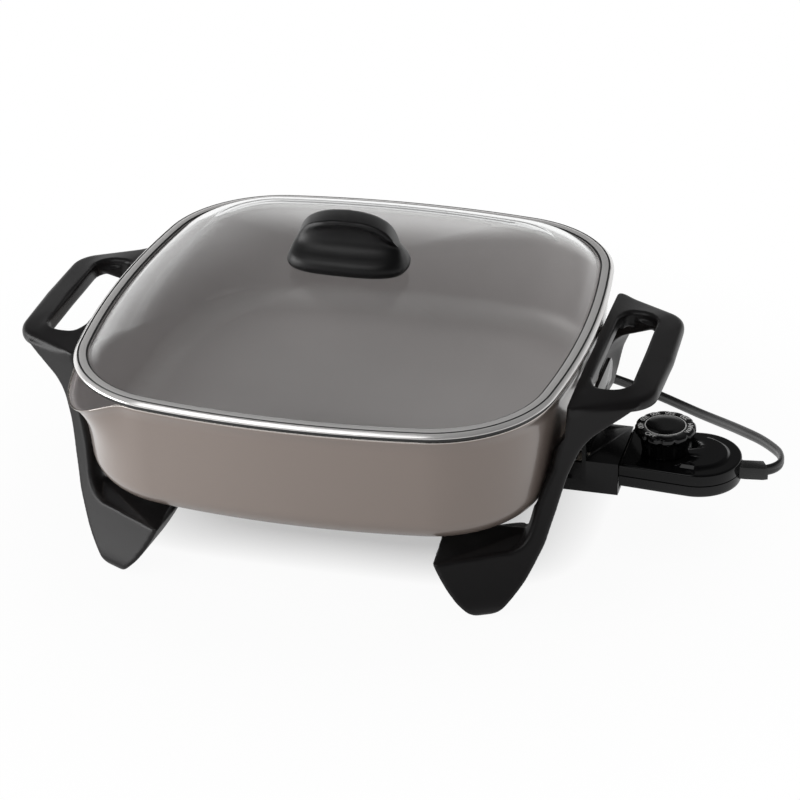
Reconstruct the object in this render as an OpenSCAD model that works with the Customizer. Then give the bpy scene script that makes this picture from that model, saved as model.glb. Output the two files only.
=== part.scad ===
// Square electric skillet with a lift-off glass lid and a plug-in heat control.
// Millimetres, +Z up. The origin is on the table, at the middle of the footprint.
// +X points from the pan towards the heat control, and +Y to the back.

/* [Pan] */
// Width of the pan and its lid across the flats
pan_w = 308; // [256:2:370]
// Height of the pan's rim above the table
rim_h = 124; // [114:1:148]
// Depth of the pan, from its rim to its underside
pan_depth = 73.5; // [64:0.5:80]
// Thickness of the pan's floor
floor_t = 4; // [3:0.5:6]
// Thickness of the pan's side wall
wall_t = 3.2; // [2.5:0.1:4.5]
// Outer radius of the pan's corners
corner_r = 76; // [60:1:90]
// Radius of the slight bow in each side
side_r = 580.5; // [450:0.5:900]
// How far the wall leans in between the rim and the bottom fillet
wall_lean = 4.6; // [2:0.2:8]
// Outer radius where the wall turns into the underside
bottom_r = 18; // [12:0.5:24]
// How far the pouring spout stands out of its corner
spout_out = 11; // [2:0.5:13]
// How far the rim dips at the spout
spout_dip = 11; // [2:0.5:13]

/* [Lid] */
// Height of the steel band around the lid
band_h = 5.5; // [5.2:0.1:8]
// Thickness of the steel band's sheet
band_t = 1; // [0.8:0.1:1.2]
// Thickness of the tempered glass
glass_t = 3.5; // [3:0.1:3.7]
// Height of the glass dome above the band
dome_h = 25.9; // [22:0.1:30]
// Clearance between the lid and the pan's rim
lid_gap = 0.3; // [0.2:0.1:0.6]
// Height of the knob
knob_h = 32.6; // [28:0.2:40]
// Length of the knob at its base
knob_l = 75; // [64:1:90]
// Width of the knob at its base
knob_w = 38.8; // [34:0.2:48]
// Turn of the knob's long axis from +X, in degrees
knob_turn = 0; // [0:5:90]
// Radius of the knob's screw
knob_screw_r = 2; // [1.5:0.1:2.5]

/* [Handles and legs] */
// Length of each handle along the pan's side
handle_l = 155; // [132:1:170]
// How far each handle reaches out from the pan's widest point
handle_reach = 48; // [44:1:58]
// How far the handles' top lies below the pan's rim
handle_drop = 5.7; // [4:0.1:9]
// Height of a handle's middle bar
handle_t = 10.8; // [9:0.2:13]
// Length of the finger hole
grip_l = 99; // [82:1:112]
// Width of the finger hole
grip_w = 22; // [18:1:26]
// Height of the top of each foot's shelf
foot_h = 34.4; // [30:0.2:40]
// Turn of each leg's face from the pan's side, in degrees
leg_turn = 25.5; // [20:0.5:30]
// Clearance between a handle or leg and the pan
pan_gap = 1.5; // [1:0.1:3]
// Radius of the screws that hold the legs
leg_screw_r = 2.5; // [2:0.1:3]

/* [Heating and guard] */
// Diameter of the sheathed heating element
element_d = 6.5; // [5.5:0.1:8]
// Half width of the element's loop
element_half = 85; // [70:1:95]
// How far the terminal pins and the probe lie below the pan's underside
pin_drop = 5.5; // [5.1:0.1:6.5]
// Radius of a terminal pin
pin_r = 2.4; // [2:0.1:2.7]
// Distance of each terminal pin from the middle
pin_y = 15; // [14:0.5:15.5]
// Radius of the sensing probe
probe_r = 3.2; // [2.7:0.1:3.5]
// Clearance of the pins and the probe in their sockets
plug_gap = 0.3; // [0.3:0.05:0.5]
// Wall of the terminal guard
guard_wall = 2.4; // [2:0.1:2.8]
// Half width of the guard's upright shield
shield_half = 56; // [30:1:58]
// How far the shield's top edge lies below the pan's rim
shield_drop = 40; // [34:1:60]

/* [Heat control] */
// Half width of the heat control at its plug end
control_half = 23.7; // [23.5:0.1:26]
// Radius of the heat control's round end
control_end_r = 27; // [26:0.5:30]
// Length of the heat control, from its seam to its round end
control_l = 71.3; // [68:0.1:80]
// Height of the heat control's body
control_h = 15.5; // [15:0.1:16.5]
// Wall of the heat control's housing
housing_wall = 2.2; // [1.8:0.1:2.4]
// Diameter of the dial
dial_d = 37.4; // [32:0.2:40]
// Height of the dial
dial_h = 17; // [14:0.5:20.5]
// Radius of the dial's spindle
spindle_r = 3; // [2.5:0.1:3.5]
// Running clearance around the spindle
spindle_gap = 0.08; // [0.02:0.01:0.1]
// Length of the strain relief outside the housing
relief_l = 14.4; // [12:0.1:24]
// How far the cord's pull turns the strain relief, in degrees
relief_turn = 28; // [0:1:30]

/* [Cord] */
// Width of the flat two-conductor cord
cord_w = 7; // [6:0.2:8]
// Thickness of the flat cord
cord_t = 3.8; // [3:0.2:4.4]
// Radius of the stored coil at the middle of its turns
coil_r = 38; // [36:1:42]

/* [Hidden] */
$fn = 48;

half = pan_w / 2;
under_z = rim_h - pan_depth;
floor_z = under_z + floor_t;
lid_z = rim_h + lid_gap;
band_top = lid_z + band_h;
glass_z = band_top - band_t - glass_t;
dome_z = band_top + dome_h;
knob_z = dome_z + 1.4;
handle_top = rim_h - handle_drop;
handle_z = handle_top - handle_t;
boss_z = under_z - 6.5;
pin_z = under_z - pin_drop;
seam_x = half + 19.7;
control_z = pin_z - 9;
control_top = control_z + control_h;
split_z = control_z + control_h / 2;
round_x = seam_x + control_l - control_end_r;
dial_x = seam_x + 24;
dial_z = control_top + 0.5;
relief_x = round_x + control_end_r;
relief_half = 4.5;
cord_x = relief_x + relief_l;
cord_y = 2.3;
cord_z = pin_z - 1.1;
// The footprint's middle, measured from the middle of the pan
frame_x = (cord_x + relief_half * sin(relief_turn) - half - handle_reach) / 2;

// ---- the pan's outline: four bowed sides, four round corners ----
bow_x = half - side_r;
corner_k = (bow_x + sqrt(2 * pow(side_r - corner_r, 2) - bow_x * bow_x)) / 2;
side_a = atan2(corner_k, corner_k - bow_x);
side_n = 4;
corner_n = 12;
quarter = concat(
    [for (i = [0 : side_n - 1]) side_a * (2 * i / side_n - 1)],
    [for (i = [0 : corner_n - 1]) side_a + (90 - 2 * side_a) * i / corner_n]);

function turned(p, a) = [p.x * cos(a) - p.y * sin(a), p.x * sin(a) + p.y * cos(a)];
// A point of the outline, inset by t, in the first quarter
function rim_pt(a, t) = a < side_a
    ? [bow_x + (side_r - t) * cos(a), (side_r - t) * sin(a)]
    : [corner_k + (corner_r - t) * cos(a), corner_k + (corner_r - t) * sin(a)];
function ring(t, z) = [for (q = [0 : 3]) for (a = quarter)
    let (p = turned(rim_pt(a, t), 90 * q)) [p.x, p.y, z]];

// ---- the spout: a bump of the front left corner that fades down the wall ----
spout_spread = 28;
spout_fade = 49;
function spout_at(q, a) = q == 2 && abs(a - 45) < spout_spread
    ? pow(cos(90 * (a - 45) / spout_spread), 2) : 0;
function spout_fade(z) = pow(max(0, 1 - (rim_h - z) / spout_fade), 2);
function spout_ring(t, z) = [for (q = [0 : 3]) for (a = quarter)
    let (b = spout_at(q, a) * spout_fade(z), p = turned(rim_pt(a, t - spout_out * b), 90 * q))
    [p.x, p.y, z - spout_dip * b]];

function flat(rows) = [for (row = rows) for (p = row) p];
function ring_faces(n, j, k) = [for (i = [0 : n - 1]) let (i2 = (i + 1) % n)
    each [[j * n + i, k * n + i, k * n + i2], [j * n + i, k * n + i2, j * n + i2]]];

// A skin over rings of equal length, capped at its ends
module loft(rings) {
    n = len(rings[0]);
    m = len(rings);
    polyhedron(flat(rings), concat(
        [[for (i = [0 : n - 1]) i]],
        [for (j = [0 : m - 2]) each ring_faces(n, j, j + 1)],
        [[for (i = [n - 1 : -1 : 0]) (m - 1) * n + i]]));
}

// A skin over rings that join up, such as a band or a tube around a hole
module loop_loft(rings) {
    m = len(rings);
    polyhedron(flat(rings), [for (j = [0 : m - 1]) each ring_faces(len(rings[0]), j, (j + 1) % m)]);
}

module place() translate([-frame_x, 0, 0]) children();
module both() for (m = [0, 1]) mirror([0, m, 0]) children();
module rod_x(x1, x2, y, z, r) translate([x1, y, z]) rotate([0, 90, 0]) cylinder(x2 - x1, r, r);

// ---- pan ----
lip_t = 1.2;
lip_w = 4;
fillet_t = lip_t + 1 + wall_lean + bottom_r;
inner_t = fillet_t - bottom_r + wall_t;
inner_r = bottom_r - wall_t + 0.4;
pan_outer = concat(
    [for (a = [0 : 18 : 90]) [fillet_t - bottom_r * sin(a), under_z + bottom_r * (1 - cos(a))]],
    [for (f = [0.4, 0.7, 1]) [fillet_t - bottom_r - wall_lean * f,
        under_z + bottom_r + (pan_depth - bottom_r - 3.5) * f]]);
pan_lip = [[lip_t, rim_h - 2.4], [lip_t, rim_h - 0.8], [lip_t + 0.8, rim_h],
    [lip_t + lip_w - 0.8, rim_h], [lip_t + lip_w, rim_h - 0.8]];
pan_inner = concat(
    [for (f = [0.7, 0.4, 0]) [inner_t - wall_lean * f,
        floor_z + inner_r + (rim_h - 4 - floor_z - inner_r) * f]],
    [for (a = [18 : 18 : 90]) [inner_t + inner_r * (1 - cos(a)), floor_z + inner_r * (1 - sin(a))]]);

boss_s = -56;
boss_d = -5.5;
boss_r = 6.5;
guard_boss_x = half - 22;
guard_boss_y = 26;
guard_boss_r = 4.5;
guard_screw_r = 1.5;
flange_z = boss_z - 9;
flange_t = 3;

module at_leg(x = 1, y = -1) {
    scale_x = x < 0 ? [1, 0, 0] : [0, 0, 0];
    scale_y = y > 0 ? [0, 1, 0] : [0, 0, 0];
    mirror(scale_x) mirror(scale_y) translate([half, -(handle_l / 2 - 0.8), 0])
        rotate([0, 0, leg_turn]) children();
}
module at_each_boss() for (x = [-1, 1], y = [-1, 1])
    at_leg(x, y) translate([boss_s, -boss_d, 0]) children();
module at_guard_boss() both() translate([guard_boss_x, guard_boss_y, 0]) children();

module pan() color([0.55, 0.5, 0.47]) place() difference() {
    union() {
        loft([for (p = concat(pan_outer, pan_lip, pan_inner)) spout_ring(p.x, p.y)]);
        at_each_boss() translate([0, 0, boss_z]) cylinder(under_z - boss_z + 1, boss_r, boss_r);
        at_guard_boss() translate([0, 0, flange_z + flange_t])
            cylinder(under_z - flange_z - flange_t + 1.5, guard_boss_r, guard_boss_r);
    }
    at_each_boss() translate([0, 0, boss_z - 1])
        cylinder(under_z - boss_z, leg_screw_r + 0.1, leg_screw_r + 0.1);
    at_guard_boss() translate([0, 0, flange_z])
        cylinder(under_z - flange_z - 1, guard_screw_r + 0.1, guard_screw_r + 0.1);
}

// The space that the pan needs, for cutting what stands close to it
module pan_envelope() loft([for (p = concat([[fillet_t + 2, under_z - pan_gap]],
    [for (p = pan_outer) [p.x - pan_gap, p.y]], [[lip_t - pan_gap, rim_h - 3],
    [lip_t - pan_gap, rim_h + 6]])) ring(p.x, p.y)]);

// ---- heating element, terminals and the probe's socket ----
element_r = element_d / 2;
element_z = under_z - element_r + 0.35;
bend_r = 30;
lead_r = 15;
lead_x = element_half + lead_r;
bead_x = half - 8;
bead_l = 8;
bead_r = 5.2;
socket_x1 = half - 58;
socket_x2 = half - 9;
socket_half = 7;

module element_bend(x, y, r, a) translate([x, y, element_z]) rotate([0, 0, a])
    rotate_extrude(angle = 90) translate([r, 0]) circle(element_r);
module element_bar(x, y, l, a) translate([x, y, element_z]) rotate([0, 0, a])
    rotate([0, 90, 0]) cylinder(l, element_r, element_r);

module heating_element() color([0.35, 0.34, 0.33]) place() {
    straight = 2 * (element_half - bend_r);
    difference() {
        union() {
            for (a = [90, 180, 270]) rotate([0, 0, a])
                element_bar(element_half, -straight / 2, straight, 90);
            for (a = [0 : 90 : 270]) rotate([0, 0, a])
                element_bend(straight / 2, straight / 2, bend_r, 0);
            both() {
                element_bar(element_half, pin_y + lead_r, straight / 2 - pin_y - lead_r, 90);
                element_bend(lead_x, pin_y + lead_r, lead_r, 180);
                element_bar(lead_x, pin_y, bead_x + bead_l / 2 - lead_x, 0);
            }
        }
        translate([0, 0, under_z]) linear_extrude(10) square(2 * half, center = true);
    }
}

module terminal_insulators() color([0.93, 0.92, 0.88]) place() both() difference() {
    rod_x(bead_x, bead_x + bead_l, pin_y, (element_z + pin_z) / 2, bead_r);
    rod_x(bead_x - 1, bead_x + bead_l / 2, pin_y, element_z, element_r + 0.1);
    rod_x(bead_x + bead_l / 2 + 0.5, bead_x + bead_l + 1, pin_y, pin_z, pin_r + 0.1);
}

module terminal_pins() color([0.8, 0.8, 0.78]) place() both() {
    rod_x(bead_x + bead_l / 2 + 0.5, seam_x - 4, pin_y, pin_z, pin_r);
    translate([seam_x - 4, pin_y, pin_z]) sphere(pin_r);
}

module probe_socket() color([0.55, 0.52, 0.5]) place() difference() {
    translate([socket_x1, -socket_half, pin_z - probe_r - plug_gap - 2])
        cube([socket_x2 - socket_x1, 2 * socket_half,
            under_z - pin_z + probe_r + plug_gap + 2]);
    rod_x(socket_x1 + 3, socket_x2 + 1, 0, pin_z, probe_r + plug_gap);
}

// ---- the guard around the terminals, with a shield between the pan and the control ----
shield_x = half - 3;
shield_top = rim_h - shield_drop;
guard_half = control_half + 0.6;
guard_z = control_z - 6;

module shield() translate([shield_x, 0, 0]) rotate([90, 0, 90]) linear_extrude(guard_wall)
    hull() for (m = [-1, 1]) {
        translate([m * (shield_half - 8), shield_top - 8]) circle(8);
        translate([m * (guard_boss_y + 3), flange_z + 4]) circle(4);
    }

module terminal_guard() color([0.1, 0.1, 0.1]) place() difference() {
    union() {
        shield();
        translate([shield_x, -guard_half, guard_z])
            cube([seam_x - 0.3 - shield_x, 2 * guard_half, control_top - guard_z]);
        translate([shield_x - 12, -guard_half, guard_z])
            cube([13, 2 * guard_half, under_z - 0.5 - guard_z]);
        translate([guard_boss_x - 7, -guard_boss_y - 7, flange_z])
            cube([shield_x - guard_boss_x + 8, 2 * guard_boss_y + 14, flange_t]);
    }
    translate([shield_x - 13, guard_wall - guard_half, flange_z + flange_t])
        cube([13, 2 * (guard_half - guard_wall), under_z]);
    translate([shield_x - 13, guard_wall - guard_half, guard_z + guard_wall])
        cube([13, 2 * (guard_half - guard_wall), flange_z - guard_z - guard_wall]);
    translate([shield_x + guard_wall, guard_wall - guard_half, guard_z + guard_wall])
        cube([seam_x, 2 * (guard_half - guard_wall), control_top - guard_z - 2 * guard_wall]);
    both() rod_x(half - 10, half, pin_y, (element_z + pin_z) / 2, bead_r + 0.4);
    rod_x(half - 10, half, 0, pin_z, probe_r + 2);
    at_guard_boss() translate([0, 0, flange_z - 1])
        cylinder(flange_t + 2, guard_screw_r + 0.3, guard_screw_r + 0.3);
}

module machine_screw(r, head_r, head_h, l) {
    difference() {
        translate([0, 0, -head_h]) cylinder(head_h, head_r, head_r);
        translate([0, 0, -head_h - 1]) linear_extrude(head_h / 2 + 1)
            for (a = [0, 90]) rotate([0, 0, a]) square([head_r * 1.1, head_r * 0.3], center = true);
    }
    cylinder(l, r, r);
}

module guard_screws() color([0.7, 0.7, 0.72]) place() at_guard_boss()
    translate([0, 0, flange_z]) machine_screw(guard_screw_r, 3.2, 2.2, 12);

// ---- handles with their legs ----
grip_x = 8;
leg_round = 2;
slice_t = 0.4;
// Rows of the foot: height as a share of foot_h, inner and outer edge, depth, front inset
foot_rows = [[0, -65, -54, 12, 9.7], [0.035, -66, -52, 18, 5.4], [0.087, -67.5, -50.5, 22, 2],
    [0.195, -69, -47, 26, 0], [0.334, -74, -40, 30, 0], [0.54, -78.5, -32, 34, 0],
    [0.785, -82, -25.5, 36.5, 0], [1, -85, -20.5, 37.5, 0]];
// Rows of the column: height as a share of the way up to the handle, inner and outer edge,
// depth at the outer edge, depth at the inner edge
column_rows = [[0.029, -40, -19.3, 30, 16], [0.063, -34, -17.8, 26, 12],
    [0.118, -29.7, -16, 24, 10], [0.186, -26.7, -13.8, 24, 10], [0.295, -23.5, -10.2, 24, 10],
    [0.419, -20, -6.5, 24, 10], [0.569, -14.3, -1.8, 24, 10], [0.637, -11.5, 1, 24, 11],
    [0.76, -9, 6.5, 23, 12], [0.856, -6.5, 14, 22, 14], [0.93, -4.5, 24, 21, 16],
    [1, -3, 34, 20, 18], [1.075, -1.5, 43.5, 19, 19]];
// How far the leg's front face stands forward of the handle at height z
function leg_front(z) = let (u = handle_z + 8.5 - z) 0.18 * u + 0.001139 * u * u;
// A slice: height, then the corners of its section
function foot_slice(r) = let (z = r[0] * foot_h, d = leg_front(z) - r[4])
    [z, [r[1], d], [r[2], d], [r[2] - 0.1 * r[3], d - r[3]], [r[1] + 0.38 * r[3], d - r[3]]];
function column_slice(r) = let (z = foot_h + r[0] * (handle_z - foot_h), d = leg_front(z))
    [z, [r[1], d], [r[2], d], [r[2], d - r[3]], [r[1] + 0.1 * r[4], d - r[4]]];
leg_slices = concat([for (r = foot_rows) foot_slice(r)], [for (r = column_rows) column_slice(r)]);

module leg_section(slice) translate([0, 0, slice[0]]) {
    in = leg_round;
    inset = [[in, -in], [-in, -in], [-in, in], [in, in]];
    for (i = [0 : 3]) translate([slice[i + 1].x + inset[i].x, -slice[i + 1].y - inset[i].y, 0])
        cylinder(slice_t, in, in, $fn = 16);
}

module leg() {
    for (i = [0 : len(leg_slices) - 2]) hull() {
        leg_section(leg_slices[i]);
        leg_section(leg_slices[i + 1]);
    }
    translate([boss_s, -boss_d, foot_h - 6]) cylinder(boss_z - foot_h + 6, boss_r, boss_r);
}

module handle_outline() {
    hull() both() {
        translate([handle_reach - 21.5, grip_l / 2 - 8.5]) circle(20);
        translate([2, handle_l / 2 - 1.5]) circle(1.5);
        translate([handle_reach - 40, 0]) circle(40);
    }
}
module grip_outline() {
    hull() both() {
        translate([grip_x + grip_w - 13, grip_l / 2 - 13]) circle(13);
        translate([grip_x + 4, grip_l / 2 - 4]) circle(4);
    }
}
module handle_layer(z, inset) translate([0, 0, z]) linear_extrude(slice_t)
    offset(delta = -inset) handle_outline();

module handle_loop() translate([half, 0, 0]) difference() {
    hull() {
        handle_layer(handle_z, 3);
        handle_layer(handle_z + 3.5, 0);
        handle_layer(handle_z + 6, 0);
        handle_layer(handle_z + 8.2, 1.2);
        translate([0, 0, handle_top - slice_t]) linear_extrude(slice_t)
            offset(delta = 3) grip_outline();
    }
    translate([0, 0, handle_z - 1]) linear_extrude(handle_t + 2) grip_outline();
    translate([-1, 4 - grip_l / 2, handle_z - 1]) cube([grip_x + 2, grip_l - 8, 4.5]);
}

module handle_side() difference() {
    union() {
        handle_loop();
        both() at_leg() leg();
    }
    pan_envelope();
    both() at_leg() translate([boss_s, -boss_d, 0]) {
        translate([0, 0, -1]) cylinder(boss_z + 2, leg_screw_r + 0.3, leg_screw_r + 0.3);
        translate([0, 0, -1]) cylinder(foot_h - 5.4, 5, 5);
    }
}

module right_handle() color([0.13, 0.13, 0.13]) place() handle_side();
module left_handle() color([0.13, 0.13, 0.13]) place() mirror([1, 0, 0]) handle_side();

module leg_screws() color([0.7, 0.7, 0.72]) place() at_each_boss()
    translate([0, 0, foot_h - 6.4]) machine_screw(leg_screw_r, 4.6, 3, boss_z - foot_h + 10);

// ---- lid ----
lip_in = lip_t + lip_w + 1.2;
skirt_in = lip_in + band_t;
flange_in = lip_in + 1.8;
glass_in = lip_t + 2.2;
crown_t = 36;
shoulder_h = 13.5;
crown_rise = dome_z - glass_z - glass_t - shoulder_h;
stud_hole = 3.5;
dome_steps = [0.35, 0.62, 0.84, 1];
// The glass's shoulder, from the band up to the crown: inset and height above the band
shoulder = [[0, 0], [flange_in + 1, 0], [12, 0.16], [17, 0.42], [24, 0.68], [crown_t, 1]];

function crown_ring(f, z) = [for (p = ring(crown_t, 0))
    let (r = norm(p), k = (1 - f) + f * stud_hole / r) [p.x * k, p.y * k, z]];
function shoulder_t(p, deep) = max(p.x, glass_in) + (p.y > 0 ? deep * 0.35 : 0);
function glass_skin(deep) = concat(
    [for (p = shoulder) ring(shoulder_t(p, deep),
        glass_z + glass_t - deep + p.y * shoulder_h)],
    [for (f = dome_steps) crown_ring(f, dome_z - deep - crown_rise * pow(1 - f, 2))]);

module lid_glass() color([0.8, 0.85, 0.86, 0.4]) place() {
    top = glass_skin(0);
    bottom = glass_skin(glass_t);
    loop_loft(concat([for (i = [len(bottom) - 1 : -1 : 0]) bottom[i]], top));
}

// The band's section: a channel that holds the glass, with a sloped face that hangs over the
// pan's rim, and a lip that drops into the pan
band_section = [[glass_in - 1.7, lid_z], [glass_in - 1.7, band_top - 3.6], [0, band_top - 2.9],
    [0, band_top - 2.5], [3, band_top], [flange_in, band_top], [flange_in, band_top - band_t],
    [glass_in, band_top - band_t], [glass_in, glass_z], [skirt_in, glass_z],
    [skirt_in, rim_h - 3.5], [lip_in, rim_h - 3.5], [lip_in, lid_z]];
module lid_band() color([0.78, 0.78, 0.78]) place()
    loop_loft([for (p = band_section) ring(p.x, p.y)]);

// The knob's rows: height, half length, half width, shift along the knob, as shares
knob_rows = [[0, 0.955, 0.95, 0], [0.04, 0.985, 0.99, 0], [0.1, 1, 1, 0], [0.242, 0.965, 0.87, 0.02],
    [0.334, 0.93, 0.74, 0.03], [0.411, 0.9, 0.59, 0.03], [0.488, 0.86, 0.45, 0.03],
    [0.58, 0.82, 0.4, 0.03], [0.7, 0.755, 0.4, 0.03], [0.81, 0.665, 0.44, 0.02],
    [0.88, 0.56, 0.48, 0.02], [0.923, 0.47, 0.48, 0.01], [0.96, 0.355, 0.43, 0.01],
    [0.988, 0.22, 0.29, 0], [1, 0.12, 0.16, 0]];
knob_n = 32;
function oval(x, y, shift, z) = [for (i = [0 : knob_n - 1]) let (a = 360 * i / knob_n,
    k = pow(pow(abs(cos(a)), 2.3) + pow(abs(sin(a)), 2.3), -1 / 2.3))
    [x * k * cos(a) + shift, y * k * sin(a), z]];

insert_r = 5;
insert_l = 18;
module lid_knob() color([0.12, 0.12, 0.12]) place() rotate([0, 0, knob_turn]) difference() {
    loft([for (r = knob_rows) oval(r[1] * knob_l / 2, r[2] * knob_w / 2, r[3] * knob_l / 2,
        knob_z + r[0] * knob_h)]);
    translate([0, 0, knob_z - 1]) cylinder(insert_l + 1, insert_r, insert_r);
}

module knob_insert() color([0.75, 0.62, 0.3]) place() translate([0, 0, knob_z]) difference() {
    cylinder(insert_l, insert_r, insert_r);
    translate([0, 0, -1]) cylinder(insert_l - 1, knob_screw_r + 0.1, knob_screw_r + 0.1);
}

module knob_washers() color([0.15, 0.15, 0.15]) place()
    for (z = [[dome_z, knob_z - dome_z, 14], [dome_z - glass_t - 1.2, 1, 8]])
        translate([0, 0, z[0]]) difference() {
            cylinder(z[1], z[2], z[2]);
            translate([0, 0, -1]) cylinder(z[1] + 2, knob_screw_r + 0.2, knob_screw_r + 0.2);
        }

module knob_screw() color([0.75, 0.75, 0.75]) place() translate([0, 0, dome_z - glass_t - 1.2])
    machine_screw(knob_screw_r, 4.5, 3, glass_t + 1.2 + knob_z - dome_z + insert_l - 5);

// ---- heat control housing ----
plateau_in = 7;
post_r = 3.6;
housing_screw_r = 1.2;
post_x1 = dial_x + 0.3;
post_y1 = control_half - 5.7;
post_x2 = round_x + 9;
post_y2 = control_end_r - 8.5;
block_half = 19.5;
block_z = pin_z - 4.5;
block_h = 8;

module control_outline(in = 0) hull() {
    translate([seam_x + in, in - control_half]) square([26, 2 * (control_half - in)]);
    translate([round_x, 0]) circle(control_end_r - in, $fn = 64);
}
module at_post() both() for (p = [[post_x1, post_y1], [post_x2, post_y2]])
    translate([p.x, p.y, 0]) children();
module block_space() translate([seam_x - 1, -block_half, block_z])
    cube([housing_wall + 2, 2 * block_half, block_h]);
module relief_space() translate([relief_x - 8, -relief_half, cord_z - 4.4])
    cube([20, 2 * relief_half, 8.8]);

module control_upper_housing() color([0.05, 0.05, 0.05]) place() difference() {
    union() {
        difference() {
            translate([0, 0, split_z]) linear_extrude(control_top - split_z) control_outline();
            translate([0, 0, split_z - 1])
                linear_extrude(control_top - housing_wall - split_z + 1)
                    control_outline(housing_wall);
        }
        translate([0, 0, control_top]) linear_extrude(2) difference() {
            control_outline(plateau_in);
            translate([dial_x, 0]) circle(dial_d / 2 + 2);
            translate([seam_x, -control_half]) square([dial_x - seam_x, 2 * control_half]);
        }
        at_post() translate([0, 0, split_z]) cylinder(control_top - 1 - split_z, post_r, post_r);
    }
    block_space();
    relief_space();
    translate([dial_x, 0, split_z]) cylinder(control_h, spindle_r + spindle_gap,
        spindle_r + spindle_gap);
    at_post() translate([0, 0, split_z - 1])
        cylinder(5, housing_screw_r + 0.1, housing_screw_r + 0.1);
}

module control_lower_housing() color([0.07, 0.07, 0.07]) place() difference() {
    union() {
        difference() {
            translate([0, 0, control_z]) linear_extrude(split_z - control_z) control_outline();
            translate([0, 0, control_z + housing_wall]) linear_extrude(control_h)
                control_outline(housing_wall);
        }
        at_post() translate([0, 0, control_z]) cylinder(split_z - control_z, post_r, post_r);
    }
    block_space();
    relief_space();
    at_post() {
        translate([0, 0, control_z - 1]) cylinder(control_h, housing_screw_r + 0.3,
            housing_screw_r + 0.3);
        translate([0, 0, control_z - 1]) cylinder(3, 2.6, 2.6);
    }
}

module housing_screws() color([0.6, 0.6, 0.62]) place() at_post()
    translate([0, 0, control_z + 2]) machine_screw(housing_screw_r, 2.4, 1.6, 9);

// ---- inside the heat control ----
block_x = seam_x - 17.7;
block_l = 32;
tab_l = 14;
frame_z = control_z + housing_wall;
stack_x = round_x + 10;
blade_t = 0.6;
lower_blade_z = frame_z + 3.4;
upper_blade_z = lower_blade_z + 2.8;
contact_x = dial_x + 9;

module terminal_block() color([0.16, 0.13, 0.1]) place() difference() {
    translate([block_x, -block_half, block_z]) cube([block_l, 2 * block_half, block_h]);
    both() rod_x(block_x - 1, seam_x + 2, pin_y, pin_z, pin_r + plug_gap);
    both() translate([seam_x + 2.4, pin_y - 2.1, pin_z - 0.6]) cube([block_l, 4.2, 1.2]);
    rod_x(block_x - 1, block_x + block_l + 1, 0, pin_z, probe_r);
}

module socket_tabs() color([0.8, 0.65, 0.3]) place() both()
    translate([seam_x + 2.4, pin_y - 2, pin_z - 0.5])
        cube([block_x + block_l - seam_x - 2.4 + 3, 4, 1]);

module sensing_probe() color([0.75, 0.75, 0.76]) place() {
    rod_x(socket_x1 + 8, block_x + block_l + 1.2, 0, pin_z, probe_r);
    translate([socket_x1 + 8, 0, pin_z]) sphere(probe_r);
}

module thermostat_frame() color([0.7, 0.7, 0.66]) place() {
    translate([dial_x - 8, -8, frame_z]) cube([stack_x - dial_x + 15, 16, 1.2]);
    both() translate([dial_x + 1, 6.8, frame_z]) cube([10, 1.2, 7]);
}

module stack_spacers() color([0.9, 0.88, 0.82]) place() translate([stack_x, 0, 0])
    for (z = [[frame_z + 1.2, lower_blade_z], [lower_blade_z + blade_t, upper_blade_z],
            [upper_blade_z + blade_t, upper_blade_z + blade_t + 1.4]])
        translate([0, 0, z[0]]) difference() {
            cylinder(z[1] - z[0], 4, 4);
            translate([0, 0, -1]) cylinder(9, 1.5, 1.5);
        }

module blade(x, z, w) difference() {
    translate([x, -w / 2, z]) cube([stack_x + 3.4 - x, w, blade_t]);
    translate([stack_x, 0, z - 1]) cylinder(3, 1.5, 1.5);
    translate([contact_x, 0, z - 1]) cylinder(3, 0.9, 0.9);
}
module lower_blade() color([0.8, 0.6, 0.35]) place() blade(contact_x - 5, lower_blade_z, 7);
module upper_blade() color([0.8, 0.6, 0.35]) place() blade(dial_x - 4, upper_blade_z, 6);

module contact_rivets() color([0.86, 0.86, 0.86]) place() translate([contact_x, 0, 0]) {
    gap_z = (lower_blade_z + blade_t + upper_blade_z) / 2;
    translate([0, 0, lower_blade_z + blade_t])
        cylinder(gap_z - lower_blade_z - blade_t, 2, 2);
    translate([0, 0, lower_blade_z]) cylinder(blade_t, 0.8, 0.8);
    translate([0, 0, gap_z]) cylinder(upper_blade_z - gap_z, 2, 2);
    translate([0, 0, upper_blade_z]) cylinder(blade_t, 0.8, 0.8);
}

module stack_rivet() color([0.75, 0.75, 0.72]) place() translate([stack_x, 0, 0]) {
    translate([0, 0, frame_z + 1.2])
        cylinder(upper_blade_z + blade_t + 1.4 - frame_z - 1.2, 1.4, 1.4);
    translate([0, 0, upper_blade_z + blade_t + 1.4]) cylinder(0.9, 2.6, 2.6);
}

// Each insulated lead runs from a tab, along the housing, to the strain relief
lead_wire_r = 1.2;
tab_x = block_x + block_l + 3;
lead_pts = [[tab_x + lead_wire_r, 13], [round_x + 6, 13], [relief_x - 11, 2.4],
    [relief_x - 8 - lead_wire_r, 2.4]];
module mains_leads() color([0.85, 0.85, 0.82]) place() both()
    translate([0, 0, pin_z - lead_wire_r]) linear_extrude(2 * lead_wire_r)
        for (i = [0 : 2]) hull() for (p = [lead_pts[i], lead_pts[i + 1]])
            translate(p) circle(lead_wire_r, $fn = 16);

module strain_relief() color([0.06, 0.06, 0.06]) place() {
    translate([relief_x - 8, -relief_half, cord_z - 4.4]) cube([8, 2 * relief_half, 8.8]);
    translate([0, 0, cord_z - 4]) linear_extrude(8) hull() {
        translate([relief_x - 1, -relief_half]) square([4, 2 * relief_half]);
        translate([cord_x, cord_y]) rotate(relief_turn)
            translate([-3, -relief_half]) square([3, 2 * relief_half]);
    }
}

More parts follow.
